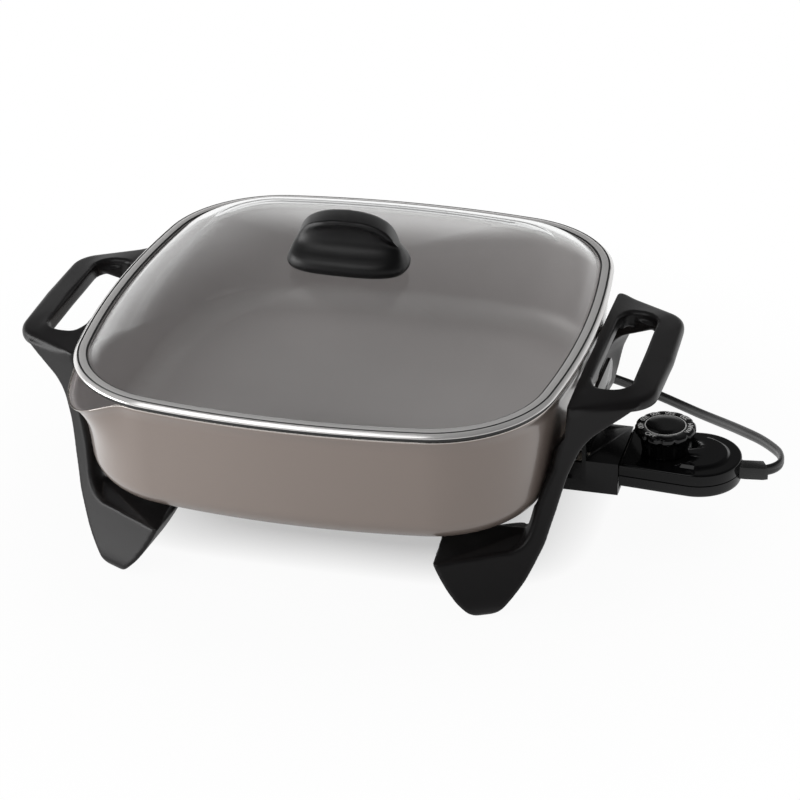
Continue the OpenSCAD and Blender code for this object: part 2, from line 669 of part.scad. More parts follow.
// ---- dial ----
dial_wall = 2.2;
dial_top = dial_z + dial_h;
dial_r = dial_d / 2;
dial_profile = [[dial_r - 4.8, dial_z], [dial_r - 2.6, dial_top - 6.5], [dial_r, dial_top - 4],
    [dial_r, dial_top - 1.2], [dial_r - 1.4, dial_top], [0, dial_top],
    [0, dial_top - dial_wall], [dial_r - 2.6 - dial_wall, dial_top - dial_wall],
    [dial_r - 4.8 - dial_wall, dial_z]];

module control_dial() color([0.06, 0.06, 0.06]) place() translate([dial_x, 0, 0]) difference() {
    union() {
        rotate_extrude() polygon(dial_profile);
        translate([0, 0, dial_z + 1]) cylinder(dial_h - 2, spindle_r + 2.5, spindle_r + 2.5);
    }
    translate([0, 0, dial_z]) cylinder(dial_h - 4, spindle_r, spindle_r);
}

module dial_spindle() color([0.72, 0.72, 0.7]) place()
    translate([dial_x, 0, upper_blade_z + blade_t + 0.3])
        cylinder(dial_top - 4.4 - upper_blade_z - blade_t, spindle_r, spindle_r);

// ---- cord: points along its middle, measured from the middle of the pan ----
cord_route = [[259.4, 2.3, 43.9], [263.5, 5.7, 43.9], [266.1, 10.4, 43.7], [266.8, 15.7, 43.2],
    [266, 22, 42.3], [263.6, 30, 40.7], [259, 39.5, 38.2], [253, 50.5, 34.9], [246, 62, 31.2],
    [236.5, 76, 26.2], [225, 93, 19.8], [211.5, 111.5, 12.8], [199, 126, 8], [186, 138.5, 5],
    [169, 150.5, 3.8], [151, 160.2, 3.6], [132, 169, 3.6], [113, 177, 3.6], [95, 183, 3.6],
    [77, 186.3, 3.6], [60, 187, 3.6]];
coil_x = 60;
coil_y = 225;
coil_turns = 2;
coil_pitch = 7.3;
coil_top = cord_w + coil_pitch * coil_turns + 0.8;
tail_z = cord_w / 2 + coil_pitch * coil_turns;
tail_route = [[0, 0, 0], [-14, 0, -0.3], [-28, 0, -2.6], [-42, 0, -6.4], [-54, 0, -9.4],
    [-64, 0, -10.6]];

function span(pts, i) = pts[min(i + 1, len(pts) - 1)] - pts[max(i - 1, 0)];
function section_ring(pts, i, w, t) = let (along = span(pts, i) / norm(span(pts, i)),
    out = cross(along, [0, 0, 1]) / norm(cross(along, [0, 0, 1])), up = cross(out, along))
    [for (k = [0 : 7]) let (a = 22.5 + 45 * k)
        pts[i] + out * (t / 2 * cos(a) * 1.06) + up * (w / 2 * sin(a) * 1.08)];
module flat_tube(pts) loft([for (i = [len(pts) - 1 : -1 : 0]) section_ring(pts, i, cord_w, cord_t)]);

cord_shift = [cord_x - 259.4, 0, 0];
module at_cord() place() translate(cord_shift) children();

module cord() color([0.08, 0.08, 0.08]) at_cord() flat_tube(cord_route);
module cord_coil() color([0.08, 0.08, 0.08]) at_cord() translate([coil_x, coil_y, 0])
    rotate_extrude() translate([coil_r - cord_t / 2 - 0.4, 0]) square([cord_t + 0.8, coil_top]);
module cord_tail() color([0.08, 0.08, 0.08]) at_cord()
    translate([coil_x, coil_y - coil_r, tail_z]) flat_tube(tail_route);

tie_w = 8;
module cord_tie() color([0.12, 0.12, 0.12]) at_cord()
    translate([coil_x + coil_r, coil_y, 0]) difference() {
        translate([-cord_t / 2 - 1.8, -tie_w / 2, 0.05])
            cube([cord_t + 3.6, tie_w, coil_top + 0.9]);
        translate([-cord_t / 2 - 0.8, -tie_w, -1]) cube([cord_t + 1.6, 2 * tie_w, coil_top + 1.1]);
    }

plug_l = 30;
plug_w = 23;
plug_h = 14;
blade_gap = 12.7;
plug_z = tail_z + tail_route[5].z;
module at_plug() at_cord() translate([coil_x + tail_route[5].x, coil_y - coil_r, plug_z]) children();
module plug_body() color([0.07, 0.07, 0.07]) at_plug() {
    translate([-plug_l, -plug_w / 2, -plug_h / 2]) cube([plug_l - 8, plug_w, plug_h]);
    translate([-8, -5, -4.4]) cube([8, 10, 8.8]);
}
module plug_blades() color([0.85, 0.75, 0.45]) at_plug() both()
    translate([-plug_l - 16, blade_gap / 2 - 0.75, -3.15]) cube([16, 1.5, 6.3]);

pan();
heating_element();
terminal_insulators();
terminal_pins();
probe_socket();
terminal_guard();
guard_screws();
left_handle();
right_handle();
leg_screws();
lid_glass();
lid_band();
lid_knob();
knob_insert();
knob_washers();
knob_screw();
control_upper_housing();
control_lower_housing();
housing_screws();
terminal_block();
socket_tabs();
sensing_probe();
thermostat_frame();
stack_spacers();
lower_blade();
upper_blade();
contact_rivets();
stack_rivet();
mains_leads();
strain_relief();
control_dial();
dial_spindle();
cord();
cord_coil();
cord_tail();
cord_tie();
plug_body();
plug_blades();
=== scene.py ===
"""Looks for the square electric skillet: its glass lid, looped handles and plug-in heat control.

Shapes are worked out in millimetres from the middle of the pan, as the CAD source does, and
put into the row frame by place(). Profile points are (t, z): t is how far inside the pan's
outline a point lies, and z its height.
"""
import math

import bmesh
import bpy
import numpy as np
from mathutils import Matrix, Vector


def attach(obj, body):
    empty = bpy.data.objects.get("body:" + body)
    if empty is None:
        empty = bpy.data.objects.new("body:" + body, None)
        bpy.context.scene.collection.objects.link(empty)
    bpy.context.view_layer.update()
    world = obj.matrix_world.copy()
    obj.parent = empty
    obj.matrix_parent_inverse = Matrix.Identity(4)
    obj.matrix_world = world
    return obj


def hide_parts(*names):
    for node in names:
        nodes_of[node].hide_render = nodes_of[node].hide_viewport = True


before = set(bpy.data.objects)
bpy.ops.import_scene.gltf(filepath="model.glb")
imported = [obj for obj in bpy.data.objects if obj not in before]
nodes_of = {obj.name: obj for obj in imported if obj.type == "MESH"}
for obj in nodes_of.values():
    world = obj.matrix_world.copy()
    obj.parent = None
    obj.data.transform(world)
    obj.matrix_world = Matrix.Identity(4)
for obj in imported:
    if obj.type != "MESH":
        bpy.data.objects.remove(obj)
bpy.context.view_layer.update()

# ---- sizes shared with the CAD source, in millimetres ----
# the pan
FRAME_X = 29.7563
HALF = 154.0
RIM_Z = 124.0
PAN_DEPTH = 73.5
UNDER_Z = RIM_Z - PAN_DEPTH
FLOOR_Z = UNDER_Z + 4.0
WALL_T = 3.2
CORNER_R = 76.0
SIDE_R = 580.5
WALL_LEAN = 4.6
BOTTOM_R = 18.0
SPOUT_OUT = 11.0
SPOUT_DIP = 11.0
SPOUT_FADE = 49.0
SPOUT_SPREAD = 28.0
# the lid
BAND_T = 1.0
GLASS_T = 3.5
LID_Z = RIM_Z + 0.3
BAND_TOP = LID_Z + 5.5
GLASS_Z = BAND_TOP - BAND_T - GLASS_T
DOME_Z = BAND_TOP + 25.9
KNOB_Z = DOME_Z + 1.4
KNOB_H = 32.6
KNOB_L = 75.0
# the handles with their legs
HANDLE_L = 155.0
HANDLE_REACH = 48.0
HANDLE_TOP = RIM_Z - 5.7
HANDLE_T = 10.8
HANDLE_Z = HANDLE_TOP - HANDLE_T
GRIP_X = 8.0
GRIP_L = 99.0
GRIP_W = 22.0
FOOT_H = 34.4
LEG_TURN = 25.5
PAN_GAP = 1.5
BOSS_Z = UNDER_Z - 6.5
BOSS_S = -56.0
BOSS_D = -5.5
LEG_SCREW_R = 2.5
# the heat control and its cord
SEAM_X = HALF + 19.7
PIN_Z = UNDER_Z - 5.5
CONTROL_Z = PIN_Z - 9.0
CONTROL_H = 15.5
CONTROL_TOP = CONTROL_Z + CONTROL_H
SPLIT_Z = CONTROL_Z + CONTROL_H / 2
CONTROL_HALF = 23.7
END_R = 27.0
ROUND_X = SEAM_X + 71.3 - END_R
DIAL_X = SEAM_X + 24.0
DIAL_Z = CONTROL_TOP + 0.5
DIAL_R = 18.7
DIAL_H = 17.0
CORD_W = 7.0
CORD_T = 3.8

scene = bpy.context.scene


def place(points):
    """Points in millimetres from the pan's middle, as points of the row frame in metres."""
    p = np.asarray(points, float).reshape(-1, 3).copy()
    p[:, 0] -= FRAME_X
    return p / 1000.0


def spot(x, y, z):
    return Vector(place([x, y, z])[0])


def new_object(name, data):
    ob = bpy.data.objects.new(name, data)
    scene.collection.objects.link(ob)
    return ob


# ---- camera at the photograph's viewing angle ----
CAMERA_ANGLES = (16.15456, 28.95932, -1.59908)
CAMERA_AT = (447.635, -1442.001, 896.436)
CAMERA_LENS = 123.75


def add_camera():
    """The camera fitted to the photograph, by its yaw, pitch and roll in degrees."""
    yaw, pitch, roll = (math.radians(a) for a in CAMERA_ANGLES)
    run = math.cos(pitch)
    back = Vector((math.sin(yaw) * run, -math.cos(yaw) * run, math.sin(pitch)))
    flat = Vector((math.cos(yaw), math.sin(yaw), 0.0))
    rise = back.cross(flat)
    right = flat * math.cos(roll) + rise * math.sin(roll)
    up = rise * math.cos(roll) - flat * math.sin(roll)
    data = bpy.data.cameras.new("camera")
    data.sensor_width = 36.0
    data.lens = CAMERA_LENS
    data.clip_start = 0.05
    data.clip_end = 60.0
    cam = new_object("camera", data)
    turn = Matrix((right, up, back)).transposed().to_4x4()
    cam.matrix_world = Matrix.Translation(spot(*CAMERA_AT)) @ turn
    scene.camera = cam


add_camera()


# ---- materials ----
def new_material(name):
    mat = bpy.data.materials.new(name)
    mat.use_nodes = True
    mat.node_tree.nodes.clear()
    return mat, mat.node_tree


def node_of(tree, kind, **values):
    """A node with its input values by name, and its other settings by attribute."""
    node = tree.nodes.new("ShaderNode" + kind)
    for name, value in values.items():
        socket = name.replace("_", " ")
        if socket in node.inputs:
            node.inputs[socket].default_value = value
        else:
            setattr(node, name, value)
    return node


def wire(tree, *pairs):
    for source, target in pairs:
        tree.links.new(source, target)


def math_of(tree, operation, *values):
    """What a Math node gives for numbers and sockets."""
    node = node_of(tree, "Math", operation=operation)
    for socket, value in zip(node.inputs, values):
        if isinstance(value, float):
            socket.default_value = value
        else:
            tree.links.new(value, socket)
    return node.outputs[0]


def ramp(tree, value, start, end, low, high, **settings):
    """A value mapped from start and end to low and high, and held there."""
    node = node_of(tree, "MapRange", From_Min=start, From_Max=end, To_Min=low, To_Max=high,
                   **settings)
    tree.links.new(value, node.inputs["Value"])
    return node.outputs["Result"]


def finish_of(name, color, rough, metallic=0.0, vary=0.08, patch=18.0, grain=900.0, bump=0.06,
              bump_m=0.0001, rough_vary=0.06, stretch=(1, 1, 1), **constants):
    """A procedural finish: colour patches, a fine grain in the gloss, and a fine surface relief."""
    mat, tree = new_material(name)
    out = node_of(tree, "OutputMaterial")
    shader = node_of(tree, "BsdfPrincipled", Metallic=metallic, **constants)
    where = node_of(tree, "TexCoord").outputs["Object"]
    mapping = node_of(tree, "Mapping", Scale=stretch)
    patches = node_of(tree, "TexNoise", Scale=patch, Detail=4.0)
    fine = node_of(tree, "TexNoise", Scale=grain, Detail=3.0)
    painted_shade_rows = [c * (1 - vary) for c in color] + [1.0]
    pale = [min(1.0, c * (1 + vary)) for c in color] + [1.0]
    tint = node_of(tree, "Mix", data_type="RGBA", A=painted_shade_rows, B=pale)
    gloss = ramp(tree, fine.outputs["Fac"], 0.3, 0.7, max(0.02, rough - rough_vary),
                 min(1.0, rough + rough_vary))
    relief = node_of(tree, "Bump", Strength=bump, Distance=bump_m)
    wire(tree, (where, mapping.inputs["Vector"]), (where, patches.inputs["Vector"]),
         (mapping.outputs[0], fine.inputs["Vector"]),
         (patches.outputs["Fac"], tint.inputs["Factor"]),
         (tint.outputs["Result"], shader.inputs["Base Color"]), (gloss, shader.inputs["Roughness"]),
         (fine.outputs["Fac"], relief.inputs["Height"]),
         (relief.outputs["Normal"], shader.inputs["Normal"]), (shader.outputs[0], out.inputs[0]))
    return mat


def glass_of(name):
    """Clear glass with faint smudges, which lets shadow rays and diffuse rays straight through."""
    mat, tree = new_material(name)
    out = node_of(tree, "OutputMaterial")
    shader = node_of(tree, "BsdfPrincipled", Base_Color=(0.985, 0.995, 0.99, 1.0),
                     Transmission_Weight=1.0, IOR=1.47)
    smudge = node_of(tree, "TexNoise", Scale=35.0, Detail=6.0)
    gloss = ramp(tree, smudge.outputs["Fac"], 0.0, 1.0, 0.0, 0.03)
    clear = node_of(tree, "BsdfTransparent", Color=(0.93, 0.94, 0.935, 1.0))
    path = node_of(tree, "LightPath").outputs
    mix = node_of(tree, "MixShader")
    wire(tree, (node_of(tree, "TexCoord").outputs["Object"], smudge.inputs["Vector"]),
         (gloss, shader.inputs["Roughness"]),
         (math_of(tree, "MAXIMUM", path["Is Shadow Ray"], path["Is Diffuse Ray"]), mix.inputs[0]),
         (shader.outputs[0], mix.inputs[1]), (clear.outputs[0], mix.inputs[2]),
         (mix.outputs[0], out.inputs[0]))
    return mat


M = {
    "outside": finish_of(
        "pan_outside", (0.252, 0.203, 0.176), 0.36, metallic=0.3, vary=0.05, patch=9, grain=2600,
        bump=0.05, rough_vary=0.05, Coat_Weight=0.9, Coat_Roughness=0.12),
    "inside": finish_of(
        "pan_inside", (0.53, 0.495, 0.495), 0.45, metallic=0.35, vary=0.06, patch=14, grain=2200,
        bump=0.05, rough_vary=0.05),
    "rim": finish_of("pan_rim", (0.55, 0.51, 0.48), 0.24, metallic=1.0, vary=0.06, grain=1800),
    "cast": finish_of(
        "pan_cast_aluminium", (0.50, 0.49, 0.48), 0.5, metallic=1.0, vary=0.12, grain=1400,
        bump=0.25, bump_m=0.0003, rough_vary=0.1),
    "band": finish_of(
        "band_steel", (0.84, 0.825, 0.815), 0.2, metallic=0.6, vary=0.03, patch=30, grain=60,
        stretch=(1, 1, 60), bump=0.02, rough_vary=0.05),
    "glass": glass_of("lid_glass_clear"),
    # black for the seals and washers, and also used as painted shade in the lid band's groove and
    # in the gap under the band
    "seal_and_shade": finish_of("seal_and_shade_black", (0.012, 0.012, 0.012), 0.45, vary=0.2, grain=700),
    "knob": finish_of(
        "knob_black", (0.0042, 0.0040, 0.0044), 0.38, vary=0.15, patch=60, grain=2600, bump=0.1,
        bump_m=0.00008, rough_vary=0.05, Specular_IOR_Level=0.31),
    "handle": finish_of(
        "handle_black", (0.0080, 0.0073, 0.0077), 0.36, vary=0.14, patch=45, grain=2400, bump=0.12,
        Specular_IOR_Level=0.28),
    "guard": finish_of(
        "guard_black", (0.0030, 0.0030, 0.0033), 0.2, vary=0.14, patch=50, grain=2200,
        bump_m=0.00006, Specular_IOR_Level=0.25),
    "cover": finish_of(
        "control_gloss_black", (0.003, 0.003, 0.0033), 0.08, vary=0.1, patch=40, grain=300,
        bump=0.015, bump_m=0.00004, rough_vary=0.025, Specular_IOR_Level=0.23),
    "base": finish_of(
        "control_satin_black", (0.0035, 0.0035, 0.004), 0.26, vary=0.12, patch=50, grain=2200,
        bump=0.08, bump_m=0.00008, Specular_IOR_Level=0.3),
    "dial": finish_of(
        "dial_black", (0.0035, 0.0035, 0.0038), 0.12, vary=0.1, patch=60, grain=500, bump=0.02,
        bump_m=0.00004, rough_vary=0.04, Specular_IOR_Level=0.4),
    "marks": finish_of("dial_white", (0.82, 0.82, 0.81), 0.45, vary=0.04, grain=1500),
    "relief": finish_of(
        "relief_black", (0.008, 0.008, 0.008), 0.38, vary=0.12, patch=60, grain=1800, bump=0.1),
    "cord": finish_of(
        "cord_black", (0.010, 0.010, 0.0105), 0.34, vary=0.16, patch=50, grain=1300, bump=0.12),
    "element": finish_of(
        "element_steel", (0.30, 0.28, 0.26), 0.5, metallic=0.9, vary=0.25, patch=45, grain=1500,
        bump=0.2, bump_m=0.0002, rough_vary=0.12),
    "ceramic": finish_of("bead_ceramic", (0.34, 0.31, 0.27), 0.5, vary=0.06, grain=1200, bump=0.15),
    "bright": finish_of(
        "bright_steel", (0.72, 0.72, 0.71), 0.24, metallic=1.0, vary=0.06, grain=1600,
        rough_vary=0.08),
    "brass": finish_of("brass", (0.74, 0.56, 0.27), 0.26, metallic=1.0, grain=1600),
    "block": finish_of(
        "block_phenolic", (0.030, 0.022, 0.016), 0.5, vary=0.2, patch=80, grain=1500),
    "lead": finish_of("lead_white", (0.70, 0.69, 0.66), 0.4, vary=0.06, grain=1400),
}


# ---- mesh helpers ----
def face_out(me):
    """Turns the mesh's normals outward."""
    bm = bmesh.new()
    bm.from_mesh(me)
    bmesh.ops.recalc_face_normals(bm, faces=bm.faces)
    bm.to_mesh(me)
    bm.free()


def mesh_of(name, verts, faces, mats, indices=None, crisp=38.0):
    """A skin with smooth shading and crisp edges above an angle."""
    me = bpy.data.meshes.new(name)
    me.from_pydata([tuple(v) for v in verts], [], [tuple(int(i) for i in f) for f in faces])
    for m in mats:
        me.materials.append(M[m])
    if indices is not None:
        me.polygons.foreach_set("material_index", np.asarray(indices, np.int32))
    face_out(me)
    shade(me, crisp)
    return me


def shade(me, crisp):
    me.shade_smooth()
    me.set_sharp_from_angle(angle=math.radians(crisp))
    me.update()


def piece(name, me, body, nodes=()):
    ob = new_object(name, me)
    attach(ob, body)
    if nodes:
        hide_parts(*nodes)
    return ob


def skin(rings, loop=False):
    """Faces over rings of equal length, with a flat end at either side, or joined up in a loop.

    The third value gives the ring that each face starts from.
    """
    n, m = len(rings[0]), len(rings)
    verts = np.concatenate([np.asarray(r, float) for r in rings])
    faces, rows = [], []
    for j in range(m if loop else m - 1):
        k = (j + 1) % m
        for i in range(n):
            i2 = (i + 1) % n
            faces.append((j * n + i, j * n + i2, k * n + i2, k * n + i))
            rows.append(j)
    if not loop:
        faces += [tuple(range(n - 1, -1, -1)), tuple((m - 1) * n + i for i in range(n))]
        rows += [0, m - 2]
    return verts, faces, rows


def add_skin(name, rings, mat, body, nodes=(), loop=False, crisp=38.0):
    """A piece of one material over rings."""
    verts, faces, _ = skin(rings, loop)
    return piece(name, mesh_of(name, place(verts), faces, [mat], crisp=crisp), body, nodes)


def join(parts):
    """Several (vertices, faces) as one."""
    verts, faces, base = [], [], 0
    for v, f in parts:
        verts.append(np.asarray(v, float))
        faces += [tuple(i + base for i in face) for face in f]
        base += len(v)
    return np.concatenate(verts), faces


def monotone(x, y, q):
    """A smooth curve through the points that adds no bumps between them."""
    x, y, q = (np.asarray(a, float) for a in (x, y, q))
    h = np.diff(x)
    d = np.diff(y) / h
    m = np.empty_like(y)
    m[0], m[-1] = d[0], d[-1]
    for i in range(1, len(y) - 1):
        same = d[i - 1] * d[i] > 0
        m[i] = 2 * d[i - 1] * d[i] / (d[i - 1] + d[i]) if same else 0.0
    i = np.clip(np.searchsorted(x, q, side="right") - 1, 0, len(x) - 2)
    t = (q - x[i]) / h[i]
    return ((2 * t**3 - 3 * t**2 + 1) * y[i] + (t**3 - 2 * t**2 + t) * h[i] * m[i]
            + (3 * t**2 - 2 * t**3) * y[i + 1] + (t**3 - t**2) * h[i] * m[i + 1])


def table(rows, steps):
    """A table of rows, resampled smoothly along its first column."""
    rows = np.asarray(rows, float)
    at = rows[:, 0]
    keys = np.concatenate([np.linspace(a, b, steps, endpoint=False) for a, b in zip(at, at[1:])]
                          + [at[-1:]])
    return np.stack([keys] + [monotone(at, column, keys) for column in rows.T[1:]], 1)


def ease(x):
    """0 to 1 with a slow start and end."""
    x = np.clip(x, 0, 1)
    return x * x * (3 - 2 * x)


def circle(n):
    """The angles of n even steps round a circle."""
    return np.linspace(0, 2 * math.pi, n, endpoint=False)


def arc(cx, cz, r, a0, a1, n):
    """Points of an arc in a profile, from angle a0 to a1 in degrees."""
    return [(cx + r * math.cos(math.radians(a)), cz + r * math.sin(math.radians(a)))
            for a in np.linspace(a0, a1, n)]


# ---- the pan's outline: four bowed sides and round corners ----
BOW_X = HALF - SIDE_R
CORNER_K = (BOW_X + math.sqrt(2 * (SIDE_R - CORNER_R) ** 2 - BOW_X**2)) / 2
SIDE_A = math.degrees(math.atan2(CORNER_K, CORNER_K - BOW_X))
SIDE_POINTS, CORNER_POINTS = 14, 52
QUARTER = np.concatenate([
    np.linspace(-SIDE_A, SIDE_A, SIDE_POINTS, endpoint=False),
    np.linspace(SIDE_A, 90 - SIDE_A, CORNER_POINTS, endpoint=False)])
SPOUT_QUARTER = 2
SPOUT_SHAPE = np.where(
    np.abs(QUARTER - 45) < SPOUT_SPREAD,
    np.cos(np.radians(90 * (QUARTER - 45) / SPOUT_SPREAD)) ** 2, 0.0)


def ring(t, z, spout=0.0):
    """The outline at height z, t millimetres inside it, with a share of the spout."""
    a = np.radians(QUARTER)
    side = QUARTER < SIDE_A
    rows = []
    for q, (c, s) in enumerate([(1, 0), (0, 1), (-1, 0), (0, -1)]):
        bump = SPOUT_SHAPE * (spout if q == SPOUT_QUARTER else 0.0)
        inset = t - SPOUT_OUT * bump
        long, short = SIDE_R - inset, CORNER_R - inset
        x = np.where(side, BOW_X + long * np.cos(a), CORNER_K + short * np.cos(a))
        y = np.where(side, long * np.sin(a), CORNER_K + short * np.sin(a))
        rows.append(np.stack([x * c - y * s, x * s + y * c, z - SPOUT_DIP * bump], 1))
    return np.concatenate(rows)


def rings_of(profile):
    return [ring(t, z) for t, z in profile]


def shrunk(points, k):
    """Points drawn towards the pan's middle."""
    p = points.copy()
    p[:, :2] *= k
    return p


# ---- pan ----
LIP_T, LIP_W = 1.2, 4.0
FILLET_T = LIP_T + 1 + WALL_LEAN + BOTTOM_R
INNER_T = FILLET_T - BOTTOM_R + WALL_T
INNER_R = BOTTOM_R - WALL_T + 0.4
WALL_END = 3.5
LEVEL_SHARES = [0.02, 0.3, 0.6, 0.8, 0.92, 0.98]
GUARD_SCREW = (HALF - 22, 26)


def wall_profile(steps, shares, gap=0.0):
    """The wall's outside from the pan's underside up, with a gap round it."""
    rows = [(FILLET_T - BOTTOM_R * math.sin(a) - gap, UNDER_Z + BOTTOM_R * (1 - math.cos(a)))
            for a in np.radians(np.linspace(0, 90, steps))]
    return rows + [(FILLET_T - BOTTOM_R - WALL_LEAN * f - gap,
                    UNDER_Z + BOTTOM_R + (PAN_DEPTH - BOTTOM_R - WALL_END) * f) for f in shares]


def build_pan():
    t, z = LIP_T, RIM_Z
    outer = wall_profile(13, np.linspace(0.12, 1, 9)) + [(t + 0.1, z - 2.4), (t, z - 0.9)]
    lip = arc(t + 0.65, z - 0.65, 0.65, 180, 90, 4) + [(t + 1.1, z), (t + 1.5, z - 0.15)]
    inner = [(t + 2.2, z - 0.6), (t + 3.4, z - 1.8), (t + LIP_W - 0.2, z - 3.0)]
    inner += [(INNER_T - WALL_LEAN * f, FLOOR_Z + INNER_R + (z - 5 - FLOOR_Z - INNER_R) * f)
              for f in np.linspace(1, 0, 8)]
    inner += [(INNER_T + INNER_R * (1 - math.cos(a)), FLOOR_Z + INNER_R * (1 - math.sin(a)))
              for a in np.radians(np.linspace(7.5, 90, 12))]
    under = [shrunk(ring(FILLET_T, UNDER_Z), k) for k in LEVEL_SHARES]
    floor = [shrunk(ring(INNER_T + INNER_R, FLOOR_Z), k) for k in LEVEL_SHARES[::-1]]
    wall = [ring(t, z, max(0.0, 1 - (RIM_Z - z) / SPOUT_FADE) ** 2) for t, z in outer + lip + inner]
    verts, faces, rows = skin(under + wall + floor)
    mats = ["outside", "inside", "rim", "cast"]
    starts = np.cumsum([len(under), len(outer) - 1, len(lip)])
    stretch = [mats.index(m) for m in ("cast", "outside", "rim", "inside")]
    index = [stretch[k] for k in np.searchsorted(starts, rows, side="right")]
    me = mesh_of("pan_shell", place(verts), faces, mats, index, crisp=50)
    piece("pan_shell", me, "skillet", ["pan"])


def lathe(profile, x, y, n=40):
    """A turned solid: profile points are (radius, height), and a radius of 0 closes an end."""
    rings = [[(x + max(r, 0.001) * math.cos(a), y + max(r, 0.001) * math.sin(a), z)
              for a in circle(n)] for r, z in profile]
    return skin(rings)[:2]


def at_leg(s, d, x=1, y=-1):
    """A point of a leg's own frame, seen from above: s along the leg's face, d out of it."""
    c, si = math.cos(math.radians(LEG_TURN)), math.sin(math.radians(LEG_TURN))
    px = HALF + s * c + d * si
    py = -(HANDLE_L / 2 - 0.8) + s * si - d * c
    return px * x, py * (1 if y < 0 else -1)


def build_bosses():
    """The cast posts under the pan, each with its screw's bore, for the legs and the guard."""
    top = UNDER_Z
    leg_post = [(2.6, top + 0.4), (2.6, BOSS_Z + 0.2), (3.0, BOSS_Z), (6.0, BOSS_Z),
                (6.5, BOSS_Z + 0.5), (6.5, top - 1.2), (7.6, top + 0.2)]
    low = BOSS_Z - 6
    guard_post = [(1.6, top + 0.4), (1.6, low + 0.2), (4.1, low), (4.5, BOSS_Z - 5.6),
                  (4.5, top - 1.2), (5.6, top + 0.2)]
    parts = [lathe(leg_post, *at_leg(BOSS_S, BOSS_D, x, y)) for x in (-1, 1) for y in (-1, 1)]
    parts += [lathe(guard_post, GUARD_SCREW[0], y * GUARD_SCREW[1]) for y in (-1, 1)]
    verts, faces = join(parts)
    me = mesh_of("pan_bosses", place(verts), faces, ["cast"])
    piece("pan_bosses", me, "skillet")


build_pan()
build_bosses()


# ---- lid ----
LIP_IN = LIP_T + LIP_W + 1.2
SKIRT_IN = LIP_IN + BAND_T
FLANGE_IN = LIP_IN + 1.8
GLASS_IN = LIP_T + 2.2
CROWN_T = 36.0
SHOULDER_H = 13.5
CROWN_RISE = DOME_Z - GLASS_Z - GLASS_T - SHOULDER_H
STUD_HOLE = 3.5
CROWN_SHARES = [0.06, 0.12, 0.2, 0.28, 0.36, 0.45, 0.54, 0.63, 0.72, 0.8, 0.88, 0.95, 1]
SHOULDER = [(FLANGE_IN + 1, 0), (12, 0.16), (17, 0.42), (24, 0.68), (CROWN_T, 1)]


def crown_ring(f, z):
    """A ring of the crown, a share of the way from its edge to the stud's round hole."""
    p = ring(CROWN_T, z)
    r = np.hypot(p[:, 0], p[:, 1])
    return shrunk(p, ((1 - f) + f * STUD_HOLE / r)[:, None])


def glass_side(deep):
    """Rings over the glass from its edge to the stud's hole, deep under its outer face."""
    z = GLASS_Z + GLASS_T - deep
    rings = [ring(GLASS_IN + 0.1, z), ring(6.0, z)]
    rings += [ring(t + (deep * 0.35 if f > 0 else 0), z + f * SHOULDER_H)
              for t, f in table(SHOULDER, 5)]
    return rings + [crown_ring(f, DOME_Z - deep - CROWN_RISE * (1 - f) ** 2) for f in CROWN_SHARES]


def build_lid():
    add_skin("lid_glass_dome", glass_side(GLASS_T)[::-1] + glass_side(0), "glass", "lid",
             ["lid_glass"], loop=True, crisp=60)

    def below(rows):
        """Profile points by how far they lie below the band's top."""
        return [(t, BAND_TOP - down) for t, down in rows]

    section = [(1.8, LID_Z)] + below([
        (1.8, 3.65), (0.75, 3.55), (0.2, 3.3), (0.0, 2.85), (0.12, 2.45), (0.75, 1.8), (1.5, 1.05),
        (2.05, 0.6), (2.3, 0.52)])
    groove = below([(2.4, 0.62), (2.55, 0.85), (3.2, 0.85), (3.35, 0.62)])
    flange = below([(3.45, 0.45), (3.9, 0.3), (7.3, 0.25), (7.6, 0.35)])
    edge = below([(7.75, 0.75), (FLANGE_IN, 0.8), (FLANGE_IN, BAND_T)])
    under = below([(GLASS_IN, BAND_T)]) + [
        (GLASS_IN, GLASS_Z), (SKIRT_IN, GLASS_Z), (SKIRT_IN, RIM_Z - 3.2),
        (SKIRT_IN - 0.2, RIM_Z - 3.5), (LIP_IN + 0.2, RIM_Z - 3.5), (LIP_IN, RIM_Z - 3.2),
        (LIP_IN, LID_Z)]
    # the groove and the step at the flange's inner edge take the black finish: painted shade in the
    # hollows of the steel band
    grooved = len(section) + len(groove)
    painted_shade_rows = [*range(len(section) - 1, grooved), grooved + len(flange) - 1, grooved + len(flange)]
    verts, faces, rows = skin(rings_of(section + groove + flange + edge + under), loop=True)
    index = [int(r in painted_shade_rows) for r in rows]
    me = mesh_of("lid_band_ring", place(verts), faces, ["band", "seal_and_shade"], index, crisp=34)
    piece("lid_band_ring", me, "lid", ["lid_band"])

    # a black ring under the band's hem: painted shade for the gap between the lid's band and the
    # pan's lip
    seal_and_shade = [(0.95, LID_Z + 0.1)] + below([(0.85, 3.5), (1.79, 3.6)]) + [(1.79, LID_Z + 0.05)]
    add_skin("lid_rim_shade_ring", rings_of(seal_and_shade), "seal_and_shade", "lid", loop=True)
    # a thin black bead along the glass's edge, under the inner edge of the band's flange
    z = GLASS_Z + GLASS_T
    bead = [
        (FLANGE_IN - 0.1, z + 0.02), (FLANGE_IN - 0.1, z + 0.3), (FLANGE_IN + 0.25, z + 0.3),
        (FLANGE_IN + 0.5, z + 0.02)]
    add_skin("lid_black_edge_bead", rings_of(bead), "seal_and_shade", "lid", loop=True,
             crisp=60)


build_lid()


